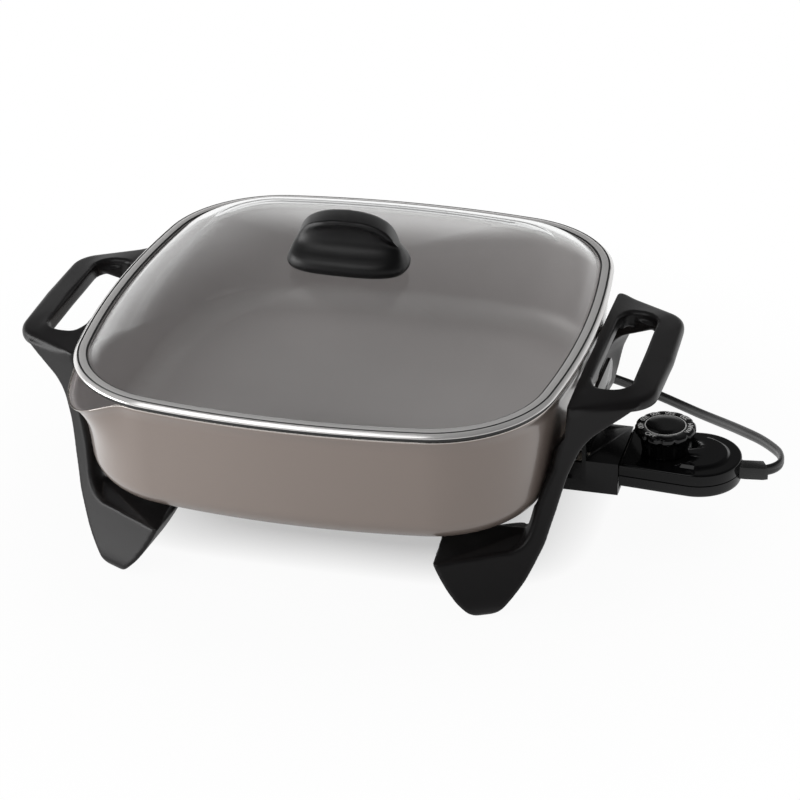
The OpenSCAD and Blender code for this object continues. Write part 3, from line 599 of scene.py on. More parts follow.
# ---- knob: a tall grip with a thick crest and scooped faces ----
KNOB_LENGTH = [
    (0, 0.955), (0.04, 0.985), (0.1, 1.0), (0.242, 0.965), (0.334, 0.93), (0.411, 0.9),
    (0.488, 0.86), (0.58, 0.82), (0.7, 0.755), (0.81, 0.665), (0.88, 0.56), (0.923, 0.47),
    (0.96, 0.355), (0.988, 0.2), (1, 0.0)
]
KNOB_BASE = [
    (0, 18.2), (0.03, 18.9), (0.09, 19.3), (0.17, 19.0), (0.24, 17.9), (0.31, 15.8), (0.38, 13.2),
    (0.45, 11.1), (0.53, 9.7), (0.62, 8.9), (0.74, 8.4), (0.88, 8.3), (1, 8.4)
]
CREST = 9.2
CREST_FADE = 0.5
KNOB_SWELL = 0.55
KNOB_MELT = 1.6
KNOB_ROWS, ARCH_POINTS, FOOT_POINTS = 72, 150, 58
KNOB_INSETS = [0, 0.006, 0.014, 0.026, 0.042, 0.062, 0.085, 0.11, 0.14, 0.18, 0.22, 0.28, 0.35,
               0.42, 0.5, 0.58, 0.66, 0.74, 0.82, 0.9, 0.96, 0.995]


def knob_half(h):
    """Half the knob's length at a share of its height."""
    return monotone(*np.array(KNOB_LENGTH).T, h) * KNOB_L / 2


def knob_depth(x, h, near, fade):
    """Half the knob's thickness at a point of its face, near millimetres inside its arched edge.

    The crest fades into the body at the left end by the share given.
    """
    base = monotone(*np.array(KNOB_BASE).T, h)
    share = np.clip(np.abs(x) / np.maximum(knob_half(h) + 0.4, 0.1), 0, 1)
    end = (1 - share ** 3) ** (1 / 3)
    crest = CREST * ease((h - 0.3) / 0.42) * (1 - fade * ease((-x - 12) / 20))
    body = base * np.maximum(end, crest / CREST * 0.8)
    rim = crest * (1 - 0.16 * ease((near - 1.6) / 4.0)) - 0.9 * np.clip(1 - near / 2.6, 0, 1) ** 2
    return np.log(np.exp(body * KNOB_MELT) + np.exp(rim * KNOB_MELT)) / KNOB_MELT


def build_knob():
    """Two faces over the arched outline, in rings towards its middle, and a rounded edge."""
    h = 1 - (1 - np.linspace(0, 1, KNOB_ROWS)) ** 1.6
    half = knob_half(h)
    arch = np.concatenate([np.column_stack([-half, h]), np.column_stack([half, h])[::-1][1:]])
    steps = np.concatenate([[0], np.cumsum(np.hypot(*np.diff(arch * [1, KNOB_H], axis=0).T))])
    even = np.linspace(0, steps[-1], ARCH_POINTS)
    arch = np.column_stack([np.interp(even, steps, arch[:, k]) for k in (0, 1)])
    foot = np.linspace(arch[-1, 0], arch[0, 0], FOOT_POINTS + 2)[1:-1]
    edge = np.concatenate([arch, np.column_stack([foot, np.zeros(FOOT_POINTS)])])
    middle = np.array([0.0, 0.3])
    sides = {}
    for side in (-1, 1):
        sides[side] = []
        for inset in KNOB_INSETS:
            p = edge + (middle - edge) * inset
            gap = p[:, None] - arch[None]
            near = np.hypot(gap[..., 0], gap[..., 1] * KNOB_H).min(1)
            y = side * knob_depth(p[:, 0], p[:, 1], near, CREST_FADE if side < 0 else 0.0)
            lean = -0.2 * y * ease((p[:, 1] - 0.2) / 0.5)
            z = KNOB_Z + p[:, 1] * (KNOB_H - KNOB_SWELL / 2)
            sides[side].append(np.column_stack([p[:, 0] + lean, y, z]))
    over = []
    for f in (0.12, 0.3, 0.5, 0.7, 0.88):
        row = sides[-1][0] * (1 - f) + sides[1][0] * f
        swell = KNOB_SWELL * math.sin(math.pi * f)
        up = np.clip((row[:, 2] - KNOB_Z) / KNOB_H, 0, 1)
        row[:, 0] *= 1 + swell * (1 - up) / 37.0 * 1.4
        row[:, 2] += swell * up * 0.48
        over.append(row)
    add_skin("lid_grip_knob", sides[-1][::-1] + over + sides[1], "knob", "lid", ["lid_knob"],
             crisp=70)


build_knob()


# ---- handles with their legs ----
FOOT_ROWS = [
    (0, -60.5, -55.0, 10, 9.7), (0.012, -62.0, -53.4, 14, 7.6), (0.035, -63.9, -51.4, 18, 5.4),
    (0.087, -66.6, -48.5, 22, 2.6), (0.145, -69.1, -46.0, 24, 0.9), (0.195, -70.9, -44.1, 26, 0.2),
    (0.334, -75.2, -38.8, 30, 0), (0.54, -79.8, -31.8, 34, 0), (0.785, -84, -25.5, 36.5, 0),
    (1, -87, -20.5, 37.5, 0)
]
COLUMN_ROWS = [
    (0.029, -40, -19.3, 30, 16), (0.063, -34, -17.8, 26, 12), (0.118, -29.7, -16, 24, 10),
    (0.186, -26.7, -13.8, 24, 10), (0.295, -23.5, -10.2, 24, 10), (0.419, -20, -6.5, 24, 10),
    (0.569, -14.3, -1.8, 24, 10), (0.637, -11.5, 1, 24, 11), (0.76, -9, 6.5, 23, 12),
    (0.856, -6.5, 14, 22, 14), (0.93, -4.5, 24, 21, 16), (1, -3, 34, 20, 18),
    (1.075, -1.5, 43.5, 19, 19)
]
LEG_ROUND = 2.0
POCKET_Z = FOOT_H - 6


def leg_front(z):
    """How far the leg's front face stands out at a height."""
    u = HANDLE_Z + 8.5 - z
    return 0.18 * u + 0.001139 * u * u


def leg_corners():
    """Slices of the leg: a height and four corners (s, d)."""
    out = []
    for h, s0, s1, deep, back in table(FOOT_ROWS, 5):
        z = h * FOOT_H
        d = leg_front(z) - back
        out.append((z, [
            (s0, d), (s1, d), (s1 - 0.1 * deep, d - deep), (s0 + 0.38 * deep, d - deep)]))
    for h, s0, s1, deep, inner in table(COLUMN_ROWS, 4):
        z = FOOT_H + h * (HANDLE_Z - FOOT_H)
        d = leg_front(z)
        out.append((z, [(s0, d), (s1, d), (s1, d - deep), (s0 + 0.1 * inner, d - inner)]))
    return out


def leg_ring(z, corners):
    """A slice's outline with rounded corners, as points of the leg's frame."""
    pts = np.array(corners, float)
    row = []
    for i in range(4):
        p, a, b = pts[i], pts[i - 1], pts[(i + 1) % 4]
        u, v = (a - p) / np.linalg.norm(a - p), (b - p) / np.linalg.norm(b - p)
        reach = min(LEG_ROUND * 1.6, 0.45 * np.linalg.norm(a - p), 0.45 * np.linalg.norm(b - p))
        for f in np.linspace(0, 1, 6):
            row.append((1 - f) ** 2 * (p + u * reach) + 2 * f * (1 - f) * p
                       + f * f * (p + v * reach))
    return [(*at_leg(s, d), z) for s, d in row]


def hull_outline(points, n=200, centre=(19.0, 0.0)):
    """The convex outline around circles (x, y, r), sampled by angle around a centre."""
    cx, cy = centre
    dense = np.array([(x + r * math.cos(a) - cx, y + r * math.sin(a) - cy)
                      for x, y, r in points for a in circle(96)])
    dirs = np.stack([np.cos(circle(1440)), np.sin(circle(1440))], 1)
    reach = (dense @ dirs.T).max(0)
    out = []
    for a in circle(n):
        d = np.array([math.cos(a), math.sin(a)])
        along = dirs @ d
        ok = along > 1e-3
        r = (reach[ok] / along[ok]).min()
        out.append((cx + r * d[0], cy + r * d[1]))
    return np.array(out)


def both_sides(points):
    return [(x, s * y, r) for x, y, r in points for s in (-1, 1)]


def level(points, z):
    return np.column_stack([points, np.full(len(points), z)])


def handle_loop():
    """The grip: rings from its outer edge over its top and down through its hole."""
    outer = hull_outline(both_sides([
        (HANDLE_REACH - 21.5, GRIP_L / 2 - 8.5, 20.0), (0.2, HANDLE_L / 2 - 1.5, 1.5),
        (HANDLE_REACH - 40, 0.0, 40.0)]))
    hole = hull_outline(both_sides([
        (GRIP_X + GRIP_W - 12, GRIP_L / 2 - 12, 12.0), (GRIP_X + 6, GRIP_L / 2 - 6, 6.0)]))
    toward = (hole - outer) / np.linalg.norm(hole - outer, axis=1)[:, None]
    crisp = 0.2 + 0.8 * ease((outer[:, :1] - 2) / 9)
    low, top = HANDLE_Z, HANDLE_TOP
    edge = [(3.4, low), (1.4, low + 1.0), (0.4, low + 2.6), (0, low + 4.4), (0.15, low + 6.2),
            (0.7, low + 7.6), (1.8, low + 8.6), (3.4, low + 9.2)]
    inner = [(2.2, top - 0.05), (1.7, top - 0.15), (1.3, top - 0.45), (0.3, top - 1.5),
             (0, top - 2.2), (0, low + 1.2), (0.8, low)]
    rows = [level(outer + toward * inset * crisp, z) for inset, z in edge]
    rows += [level(hole - toward * out, z) for out, z in inner]
    for row in rows:
        row[:, 0] += HALF
    return skin(rows, loop=True)[:2]


def cutter(name, verts, faces):
    """A plain solid from points in millimetres, to be worked on or cut with."""
    me = bpy.data.meshes.new(name)
    me.from_pydata([tuple(v) for v in place(verts)], [], faces)
    face_out(me)
    return new_object(name, me)


def apply_all(ob):
    """The object's modifiers, written into its mesh."""
    dg = bpy.context.evaluated_depsgraph_get()
    me = bpy.data.meshes.new_from_object(ob.evaluated_get(dg))
    ob.modifiers.clear()
    old, ob.data = ob.data, me
    bpy.data.meshes.remove(old)


def cut_away(ob, solids):
    """Takes solids out of the object, one after the other."""
    cutters = [cutter("cut", verts, faces) for verts, faces in solids]
    for other in cutters:
        mod = ob.modifiers.new("cut", "BOOLEAN")
        mod.operation = "DIFFERENCE"
        mod.solver = "EXACT"
        mod.object = other
    apply_all(ob)
    for other in cutters:
        bpy.data.objects.remove(other)


def box_skin(low, high):
    """A box between two corners, as points and faces."""
    verts = [(x, y, z) for x in (low[0], high[0]) for y in (low[1], high[1])
             for z in (low[2], high[2])]
    faces = [(0, 1, 3, 2), (4, 6, 7, 5), (0, 4, 5, 1), (2, 3, 7, 6), (0, 2, 6, 4), (1, 5, 7, 3)]
    return verts, faces


def across(verts, faces):
    """A solid mirrored in y."""
    return verts * np.array([1, -1, 1]), [f[::-1] for f in faces]


def pan_envelope():
    """The pan and the gap round it."""
    rows = [(FILLET_T + 2, UNDER_Z - PAN_GAP)] + wall_profile(8, (0.5, 1), PAN_GAP)
    rows += [(LIP_T - PAN_GAP, RIM_Z - 3), (LIP_T - PAN_GAP, RIM_Z + 6)]
    return skin(rings_of(rows))[:2]


def foot_shelf():
    """The top of the foot, which rises from its front crease towards the boss."""
    d = leg_front(FOOT_H)
    low = [(*at_leg(s, d - back), POCKET_Z)
           for s, back in [(-78, 4), (-32, 4), (-34, 32), (-68, 32)]]
    high = [(*at_leg(s, d - back), FOOT_H + lift) for s, back, lift in [
        (-85.2, 0.9, 0), (-23.5, 0.9, 0), (-21.5, 14.0, 9.0), (-72.0, 37.0, 7.5)]]
    return skin([low, high])[:2]


def voxel_skin(ob):
    """One smooth skin over the object's overlapping solids."""
    remesh = ob.modifiers.new("remesh", "REMESH")
    remesh.mode = "VOXEL"
    remesh.voxel_size = 0.00085
    remesh.adaptivity = 0.0
    smooth = ob.modifiers.new("smooth", "SMOOTH")
    smooth.factor = 0.5
    smooth.iterations = 7
    apply_all(ob)


def add_handle(side, me):
    shade(me, 50)
    me.name = f"{side}_handle_moulding"
    piece(me.name, me, "skillet", [f"{side}_handle"])


def build_handles():
    """The right handle, cut to clear the pan and its screws, and its mirror image."""
    leg, shelf = skin([leg_ring(z, c) for z, c in leg_corners()])[:2], foot_shelf()
    posts = [at_leg(BOSS_S, BOSS_D, 1, y) for y in (-1, 1)]
    parts = [handle_loop(), leg, across(*leg), shelf, across(*shelf)]
    parts += [lathe([(6.5, POCKET_Z), (6.5, BOSS_Z)], *at) for at in posts]
    ob = cutter("handle_work", *join(parts))
    voxel_skin(ob)

    bore = [(LEG_SCREW_R + 0.3, -1), (LEG_SCREW_R + 0.3, BOSS_Z + 2)]
    pocket = [(5.0, -1), (5.0, FOOT_H - 6.4)]
    x0, y0 = HALF - 1, GRIP_L / 2 - 4
    under_bar = box_skin((x0, -y0, HANDLE_Z - 1), (x0 + GRIP_X + 2, y0, HANDLE_Z + 3.5))
    side = [(HALF - 24, 66), (HALF - 1.4, 99), (HALF - 1.4, HANDLE_TOP + 4),
            (HALF - 24, HANDLE_TOP + 4)]
    inner = skin([[(x, y, z) for x, z in side] for y in (-110, 110)])[:2]
    holes = [lathe(hole, *at, 32) for hole in (bore, pocket) for at in posts]
    cut_away(ob, [pan_envelope(), *holes, under_bar, inner])

    me = ob.data
    me.materials.clear()
    me.materials.append(M["handle"])
    bpy.data.objects.remove(ob)
    mirrored = me.copy()
    middle = FRAME_X / 1000
    mirrored.transform(Matrix.Translation((-middle, 0, 0)) @ Matrix.Diagonal((-1, 1, 1, 1))
                       @ Matrix.Translation((middle, 0, 0)))
    mirrored.flip_normals()
    add_handle("right", me)
    add_handle("left", mirrored)


build_handles()


# ---- carried-over solids with softened edges ----
def softened(node, name, mat, body, width, cuts=()):
    """A copy of a CAD solid with rounded edges, standing for it. cuts are solids to leave out."""
    me = nodes_of[node].data.copy()
    bm = bmesh.new()
    bm.from_mesh(me)
    bmesh.ops.remove_doubles(bm, verts=bm.verts, dist=2e-6)
    bmesh.ops.dissolve_limit(bm, angle_limit=math.radians(1.0), verts=bm.verts, edges=bm.edges)
    bmesh.ops.recalc_face_normals(bm, faces=bm.faces)
    bm.to_mesh(me)
    bm.free()
    me.materials.clear()
    me.materials.append(M[mat])
    me.polygons.foreach_set("material_index", np.zeros(len(me.polygons), np.int32))
    ob = new_object(name, me)
    bevel = ob.modifiers.new("bevel", "BEVEL")
    bevel.width = width / 1000
    bevel.segments = 2
    bevel.limit_method = "ANGLE"
    bevel.angle_limit = math.radians(35)
    bevel.use_clamp_overlap = True
    apply_all(ob)
    if cuts:
        cut_away(ob, cuts)
    shade(ob.data, 32)
    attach(ob, body)
    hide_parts(node)
    return ob


# the shield's lower outer corners, which the photograph doesn't show
SHIELD_X, SHIELD_EDGE = (HALF - 14.5, HALF), 62
CUT_SIDE, CUT_LOW, CUT_TOP = CONTROL_HALF + 0.62, 20, 68
softened("terminal_guard", "plug_guard", "guard", "skillet", 0.5,
         cuts=[box_skin((SHIELD_X[0], y0, CUT_LOW), (SHIELD_X[1], y1, CUT_TOP))
               for y0, y1 in ((CUT_SIDE, SHIELD_EDGE), (-SHIELD_EDGE, -CUT_SIDE))])
softened("cord_tie", "cord_band", "relief", "heat_control", 0.4)
softened("strain_relief", "cord_relief", "relief", "heat_control", 0.45)


# ---- heat control housing ----
def control_outline(inset, n=160):
    """The housing's outline, sampled by angle around a point inside it."""
    half, seam = CONTROL_HALF - inset, SEAM_X + inset + 0.01
    return hull_outline([(seam, -half, 0.01), (seam, half, 0.01), (SEAM_X + 26, -half, 0.01),
                         (SEAM_X + 26, half, 0.01), (ROUND_X, 0, END_R - inset)], n, (DIAL_X, 0.0))


def cover_height(p):
    """The cover's top above its edge: a raised plateau behind the dial, a shallow dish in front."""
    x, y = p[:, 0] - DIAL_X, p[:, 1]
    inner = control_outline(7.0, 360)
    inner_x, inner_y = inner[:, 0] - DIAL_X, inner[:, 1]
    angles = np.arctan2(inner_y, inner_x)
    order = np.argsort(angles)
    reach = np.interp(np.arctan2(y, x), angles[order], np.hypot(inner_x, inner_y)[order],
                      period=2 * math.pi)
    dist = np.hypot(x, y)
    inside = ease((reach - dist) / 2.6)
    behind = ease((x + 2) / 9.0)
    around = ease((dist - DIAL_R - 0.6) / 2.2)
    return 1.9 * inside * behind * around - 0.5 * ease((14 - dist) / 4)


def control_rings(rows):
    return [level(control_outline(inset), z) for inset, z in rows]


def build_control():
    """The two shells of the heat control, with a seam between them at SPLIT_Z."""
    low, split, top = CONTROL_Z, SPLIT_Z, CONTROL_TOP
    rings = control_rings([
        (2.4, split + 0.15), (0.35, split + 0.15), (0.05, split + 0.4), (0.0, split + 1.2),
        (0.05, top - 2.0), (0.2, top - 0.9), (0.5, top - 0.35), (1.0, top - 0.05), (1.6, top)])
    for inset in np.concatenate([np.arange(2.4, 13, 0.7), np.arange(13, 23, 1.4)]):
        p = control_outline(inset)
        rings.append(level(p, top + cover_height(p)))
    add_skin("control_cover", rings, "cover", "heat_control", ["control_upper_housing"],
             crisp=40)
    rings = control_rings([
        (6.0, low), (1.8, low), (1.0, low + 0.15), (0.4, low + 0.6), (0.1, low + 1.4),
        (0.0, low + 2.6), (0.0, split - 1.2), (0.05, split - 0.4), (0.35, split - 0.15),
        (2.4, split - 0.15)])
    add_skin("control_base", rings, "base", "heat_control", ["control_lower_housing"],
             crisp=40)


build_control()


# ---- dial ----
DIAL_TOP = DIAL_Z + DIAL_H
FLUTES = 12
MARK_R = 15.4
# each word with its angle on the dial and its letters' height
DIAL_MARKS = [("400", 196, 3.75), ("350", 158, 3.75), ("300", 125, 3.75), ("250", 89, 3.75),
              ("200", 50, 3.75), ("WARM", -2, 3.3), ("OFF", 244, 3.75)]


def dial_ring(r, z, cut=0.0):
    """A ring of the dial, with its finger flutes cut deep into it."""
    angles = circle(FLUTES * 16)
    rr = r - cut * (0.5 + 0.5 * np.cos(FLUTES * angles)) ** 6
    return level(np.column_stack([DIAL_X + rr * np.cos(angles), rr * np.sin(angles)]), z)


def build_dial():
    low, top = DIAL_Z, DIAL_TOP
    rows = [
        (11.0, low + 0.3), (13.4, low), (13.9, low + 0.3, 0.2), (14.2, low + 1.6, 0.9),
        (15.4, top - 8.0, 1.5), (16.0, top - 6.2, 1.6), (16.9, top - 5.2, 1.5),
        (18.1, top - 4.4, 1.3), (18.55, top - 3.8, 1.2), (18.7, top - 3.0, 1.1),
        (18.6, top - 1.4, 1.0), (18.2, top - 0.6, 0.9), (17.6, top - 0.15, 0.6), (17.0, top, 0.2),
        (13.2, top), (12.9, top - 0.12), (11.9, top - 0.12), (11.6, top), (6.0, top), (0.4, top)
    ]
    add_skin("temperature_dial", [dial_ring(*row) for row in rows], "dial", "dial",
             ["control_dial"], crisp=42)
    rows = [(12.05, top - 0.11), (12.1, top + 0.04), (12.7, top + 0.04), (12.75, top - 0.11)]
    add_skin("dial_white_ring", [dial_ring(*row) for row in rows], "marks", "dial",
             loop=True)


def word_mesh(word, size):
    """A word as a flat solid in millimetres, around the origin."""
    curve = bpy.data.curves.new("mark", "FONT")
    curve.body = word
    curve.size = size * 1.25
    curve.align_x = "CENTER"
    curve.align_y = "CENTER"
    curve.extrude = 0.05
    curve.offset = 0.06
    curve.space_character = 0.95
    ob = new_object("mark", curve)
    bpy.context.view_layer.update()
    dg = bpy.context.evaluated_depsgraph_get()
    me = bpy.data.meshes.new_from_object(ob.evaluated_get(dg))
    bpy.data.objects.remove(ob)
    return me


def build_marks():
    """The dial's numbers and words, bent round its top."""
    bm = bmesh.new()
    for word, angle, size in DIAL_MARKS:
        me = word_mesh(word, size)
        for v in me.vertices:
            r = MARK_R - v.co.y
            a = math.radians(angle) + v.co.x / MARK_R
            v.co = (DIAL_X + r * math.cos(a), r * math.sin(a), DIAL_TOP + 0.02 + v.co.z)
        bm.from_mesh(me)
    for v in bm.verts:
        v.co = spot(*v.co)
    marks = bpy.data.meshes.new("dial_marks")
    bmesh.ops.recalc_face_normals(bm, faces=bm.faces)
    bm.to_mesh(marks)
    bm.free()
    marks.materials.append(M["marks"])
    piece("dial_marks", marks, "dial")


build_dial()
build_marks()


# ---- cord: one length from the strain relief to the plug ----
CORD_ROUTE = [
    (259.4, 2.3, 43.9), (263.5, 5.7, 43.9), (266.1, 10.4, 43.7), (266.8, 15.7, 43.2),
    (266, 22, 42.3), (263.6, 30, 40.7), (259, 39.5, 38.2), (253, 50.5, 34.9), (246, 62, 31.2),
    (236.5, 76, 26.2), (225, 93, 19.8), (211.5, 111.5, 12.8), (199, 126, 8), (186, 138.5, 5),
    (169, 150.5, 3.8), (151, 160.2, 3.6), (132, 169, 3.6), (113, 177, 3.6), (95, 183, 3.6),
    (77, 186.3, 3.6), (60, 187, 3.6)
]
COIL_X, COIL_Y, COIL_R, COIL_TURNS, COIL_PITCH = 60.0, 225.0, 38.0, 2, 7.3
COIL_POINTS = 24
COIL_Z = 3.6
TAIL_Z = CORD_W / 2 + COIL_PITCH * COIL_TURNS
TAIL_ROUTE = [(-14, 0, -0.3), (-28, 0, -2.6), (-42, 0, -6.4), (-54, 0, -9.4), (-64, 0, -10.6)]


def through(points, per=4):
    """A smooth curve through the points, with per steps between each two."""
    p = np.asarray(points, float)
    ext = np.vstack([2 * p[0] - p[1], p, 2 * p[-1] - p[-2]])
    out = []
    for i in range(1, len(ext) - 2):
        a, b, c, d = ext[i - 1:i + 3]
        for t in np.linspace(0, 1, per, endpoint=False):
            out.append(0.5 * (2 * b + (c - a) * t + (2 * a - 5 * b + 4 * c - d) * t**2
                              + (3 * b - a - 3 * c + d) * t**3))
    out.append(p[-1])
    return np.array(out)


def cord_line():
    """The cord's middle line: the route seen, the rising coil, and the tail to the plug."""
    coil = []
    last = COIL_POINTS * COIL_TURNS
    for i in range(1, last + 1):
        a = math.radians(-90 - 360 / COIL_POINTS * i)
        coil.append((COIL_X + COIL_R * math.cos(a), COIL_Y + COIL_R * math.sin(a),
                     COIL_Z + (TAIL_Z - COIL_Z) * i / last))
    tail = [(COIL_X + x, COIL_Y - COIL_R + y, TAIL_Z + z) for x, y, z in TAIL_ROUTE]
    return through(CORD_ROUTE + coil + tail)


def cord_section():
    """Two round cores side by side with a groove between them."""
    pts = []
    for a in circle(28):
        c, s = math.cos(a), math.sin(a)
        x = CORD_T / 2 * (abs(c) ** 0.75) * math.copysign(1, c)
        y = CORD_W / 2 * (abs(s) ** 0.9) * math.copysign(1, s)
        x *= 1 - 0.24 * math.exp(-(y / 0.55) ** 2)
        pts.append((x, y))
    return np.array(pts)


def sweep(line, section):
    """Rings of a section along a line, kept upright."""
    rings = []
    for i, p in enumerate(line):
        along = line[min(i + 1, len(line) - 1)] - line[max(i - 1, 0)]
        along /= np.linalg.norm(along)
        out = np.cross(along, (0, 0, 1))
        out /= np.linalg.norm(out)
        up = np.cross(out, along)
        rings.append(p + section[:, :1] * out + section[:, 1:] * up)
    return rings


def build_cord():
    line = cord_line()
    ob = add_skin("power_cord", sweep(line, cord_section()), "cord", "heat_control",
                  ["cord", "cord_coil", "cord_tail"], crisp=60)
    return ob, line, np.linalg.norm(np.diff(line, axis=0), axis=1).sum() / 1000


PLUG_X = COIL_X - 64.0
PLUG_Y = COIL_Y - COIL_R
PLUG_Z = TAIL_Z - 10.6


def plug_ring(x, half_y, half_z, power):
    """A rounded rectangle across the plug, squarer for a higher power."""
    row = []
    for a in circle(48):
        c, s = math.cos(a), math.sin(a)
        k = (abs(c) ** power + abs(s) ** power) ** (-1 / power)
        row.append((PLUG_X + x, PLUG_Y + half_y * k * c, PLUG_Z + half_z * k * s))
    return row


def build_plug():
    rows = [
        (0, 3.0, 4.2, 3), (-0.2, 3.6, 4.4, 3), (-2.2, 4.0, 4.4, 3), (-2.6, 3.4, 4.1, 3),
        (-3.6, 3.4, 4.1, 3), (-4.0, 4.4, 4.4, 3), (-5.8, 4.7, 4.4, 3), (-6.2, 4.2, 4.2, 3),
        (-7.2, 4.4, 4.3, 3), (-7.8, 5.4, 4.8, 3), (-9.5, 8.2, 5.9, 3.4), (-12.0, 10.4, 6.7, 4),
        (-14.5, 11.2, 6.9, 5), (-17.0, 11.0, 6.8, 5), (-17.4, 10.5, 6.8, 5), (-18.2, 10.5, 6.8, 5),
        (-18.6, 11.0, 6.8, 5), (-19.8, 11.0, 6.8, 5), (-20.2, 10.5, 6.8, 5), (-21.0, 10.5, 6.8, 5),
        (-21.4, 11.2, 6.8, 5), (-22.6, 11.3, 6.9, 5), (-23.0, 10.8, 6.8, 5), (-23.8, 10.8, 6.8, 5),
        (-24.2, 11.5, 7.0, 6), (-28.8, 11.5, 7.0, 7), (-29.7, 11.2, 6.7, 7), (-30.0, 10.6, 6.1, 7)
    ]
    return add_skin("mains_plug", [plug_ring(*r) for r in rows], "cord", "heat_control",
                    ["plug_body"], crisp=36)


cord, line, cord_length = build_cord()
plug = build_plug()
blades = softened("plug_blades", "mains_blades", "brass", "heat_control", 0.35)
tuple(place(line[0])[0])
[tuple(p) for p in place(line)]

# ---- inner and underside pieces keep their CAD shapes ----
KEPT = {
    "element": ["heating_element"], "cast": ["probe_socket"], "seal_and_shade": ["knob_washers"],
    "block": ["terminal_block"], "lead": ["mains_leads"],
    "ceramic": ["terminal_insulators", "stack_spacers"],
    "brass": ["knob_insert", "socket_tabs", "lower_blade", "upper_blade"],
    "bright": ["terminal_pins", "guard_screws", "leg_screws", "knob_screw", "housing_screws",
               "sensing_probe", "thermostat_frame", "contact_rivets", "stack_rivet",
               "dial_spindle"],
}
for mat, names in KEPT.items():
    for node in names:
        looks = nodes_of[node].data.materials
        looks.clear()
        looks.append(M[mat])


# ---- stage: a pale floor and soft light ----
AMBIENT = 0.30
FLOOR_R = 9
FLOOR_Z_M = -0.0002
FRONT_RIGHT = (0.55, -0.83, 0.0)
AIM = (0, 0, 0.08)


def build_world():
    """White as seen, darker overhead and to the front right in reflections, soft as a light."""
    world = bpy.data.worlds.new("studio")
    world.use_nodes = True
    scene.world = world
    tree = world.node_tree
    tree.nodes.clear()
    out = node_of(tree, "OutputWorld")
    back = node_of(tree, "Background", Color=(1, 1, 1, 1))
    way = node_of(tree, "TexCoord").outputs["Generated"]
    axes = node_of(tree, "SeparateXYZ")
    side = node_of(tree, "VectorMath", operation="DOT_PRODUCT")
    side.inputs[1].default_value = FRONT_RIGHT
    smooth = {"interpolation_type": "SMOOTHSTEP"}
    height = ramp(tree, axes.outputs["Z"], 0.1, 0.37, 1.0, 0.15, **smooth)
    front = ramp(tree, side.outputs["Value"], 0.0, 0.8, 1.0, 0.35, **smooth)
    path = node_of(tree, "LightPath").outputs
    seen = math_of(tree, "MAXIMUM", path["Is Camera Ray"], path["Is Transmission Ray"])
    strength = node_of(tree, "MapRange")
    wire(tree, (way, axes.inputs[0]), (way, side.inputs[0]),
         (path["Is Glossy Ray"], strength.inputs["Value"]),
         (ramp(tree, seen, 0.0, 1.0, AMBIENT, 1.0), strength.inputs["To Min"]),
         (math_of(tree, "MULTIPLY", height, front), strength.inputs["To Max"]),
         (strength.outputs["Result"], back.inputs["Strength"]), (back.outputs[0], out.inputs[0]))


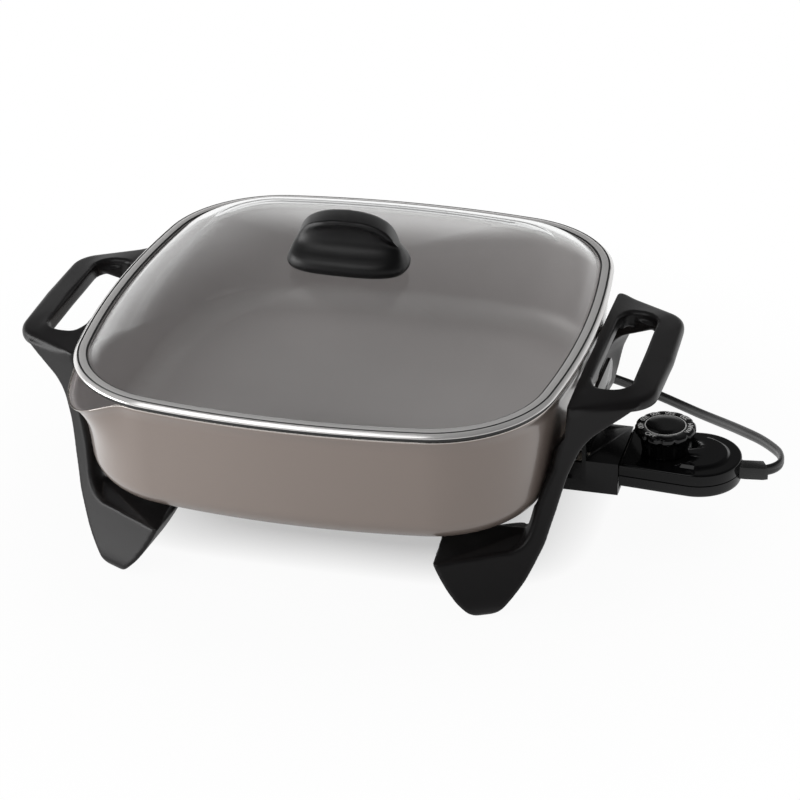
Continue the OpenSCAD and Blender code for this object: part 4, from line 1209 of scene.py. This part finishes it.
def floor_material():
    """Matte, mixed with plain white by shares set by place: one as seen, one in reflections.

    The shares are fitted to the photograph's shadow and to what its pan mirrors of the floor.
    """
    mat, tree = new_material("floor_pale")
    out = node_of(tree, "OutputMaterial")
    mix = node_of(tree, "MixShader")
    matte = node_of(tree, "BsdfDiffuse", Color=(0.84, 0.84, 0.84, 1))
    white = node_of(tree, "Emission", Strength=1.0)
    axes = node_of(tree, "SeparateXYZ")

    def reach_of(x, y, shrink=1.0, power=2.0):
        """Distance from a point of the floor, with x shrunk, squarer for a higher power."""
        parts = []
        for axis, at, k in (("X", x, shrink), ("Y", y, 1.0)):
            part = math_of(tree, "MULTIPLY", math_of(tree, "SUBTRACT", axes.outputs[axis], at), k)
            parts.append(math_of(tree, "POWER", math_of(tree, "ABSOLUTE", part), power))
        return math_of(tree, "POWER", math_of(tree, "ADD", *parts), 1.0 / power)

    middle = -FRAME_X / 1000
    # less plain white under the pan: a painted shadow there, with the cast shadow showing through
    # the matte share
    under = ramp(tree, reach_of(middle, 0.0, 0.64, 4.0), 0.062, 0.104, 0.42, 0.95)
    around = ramp(tree, reach_of(middle, 0.0), 0.2, 0.4, 0.95, 1.0)
    outside = ramp(tree, under, 0.94, 0.95, 0.0, 1.0)
    shown = math_of(tree, "MAXIMUM", under, math_of(tree, "MULTIPLY", around, outside))
    # in reflections the floor near the pan is painted darker: painted shade that the pan's lower
    # wall and fillet mirror
    mirrored = math_of(tree, "MULTIPLY", ramp(tree, reach_of(0.12, -0.2), 0.03, 0.32, 0.43, 1.0),
                       ramp(tree, reach_of(middle, 0.0), 0.1, 0.22, 0.15, 1.0))
    path = node_of(tree, "LightPath").outputs
    seen = math_of(tree, "MAXIMUM", path["Is Camera Ray"], path["Is Transmission Ray"])
    share = math_of(tree, "MAXIMUM", math_of(tree, "MULTIPLY", shown, seen),
                    math_of(tree, "MULTIPLY", mirrored, path["Is Glossy Ray"]))
    wire(tree, (node_of(tree, "TexCoord").outputs["Object"], axes.inputs[0]),
         (share, mix.inputs[0]), (matte.outputs[0], mix.inputs[1]),
         (white.outputs[0], mix.inputs[2]), (mix.outputs[0], out.inputs[0]))
    return mat


def build_floor():
    n = 96
    verts = [(0, 0, FLOOR_Z_M)]
    verts += [(FLOOR_R * math.cos(a), FLOOR_R * math.sin(a), FLOOR_Z_M) for a in circle(n)]
    me = bpy.data.meshes.new("floor")
    me.from_pydata(verts, [], [(0, 1 + i, 1 + (i + 1) % n) for i in range(n)])
    me.materials.append(floor_material())
    new_object("floor", me)


def add_lamp(name, at, size, size_y, power, mirrored=True):
    """A soft rectangular lamp at a point in metres, aimed at the pan, mirrored or not."""
    data = bpy.data.lights.new(name, "AREA")
    data.shape = "RECTANGLE"
    data.size = size
    data.size_y = size_y
    data.energy = power
    ob = new_object(name, data)
    ob.location = at
    ob.rotation_euler = (Vector(AIM) - Vector(at)).to_track_quat("-Z", "Y").to_euler()
    ob.visible_glossy = mirrored
    ob.visible_transmission = False


build_world()
build_floor()
add_lamp("left", (-1.35, -0.5, 0.36), 1.0, 0.6, 11.0)
add_lamp("front", (-0.42, -1.0, 1.1), 1.1, 0.75, 5.2)
add_lamp("top", (0.15, 0.4, 1.6), 1.2, 0.8, 5.0, False)

scene.view_settings.view_transform = "Standard"
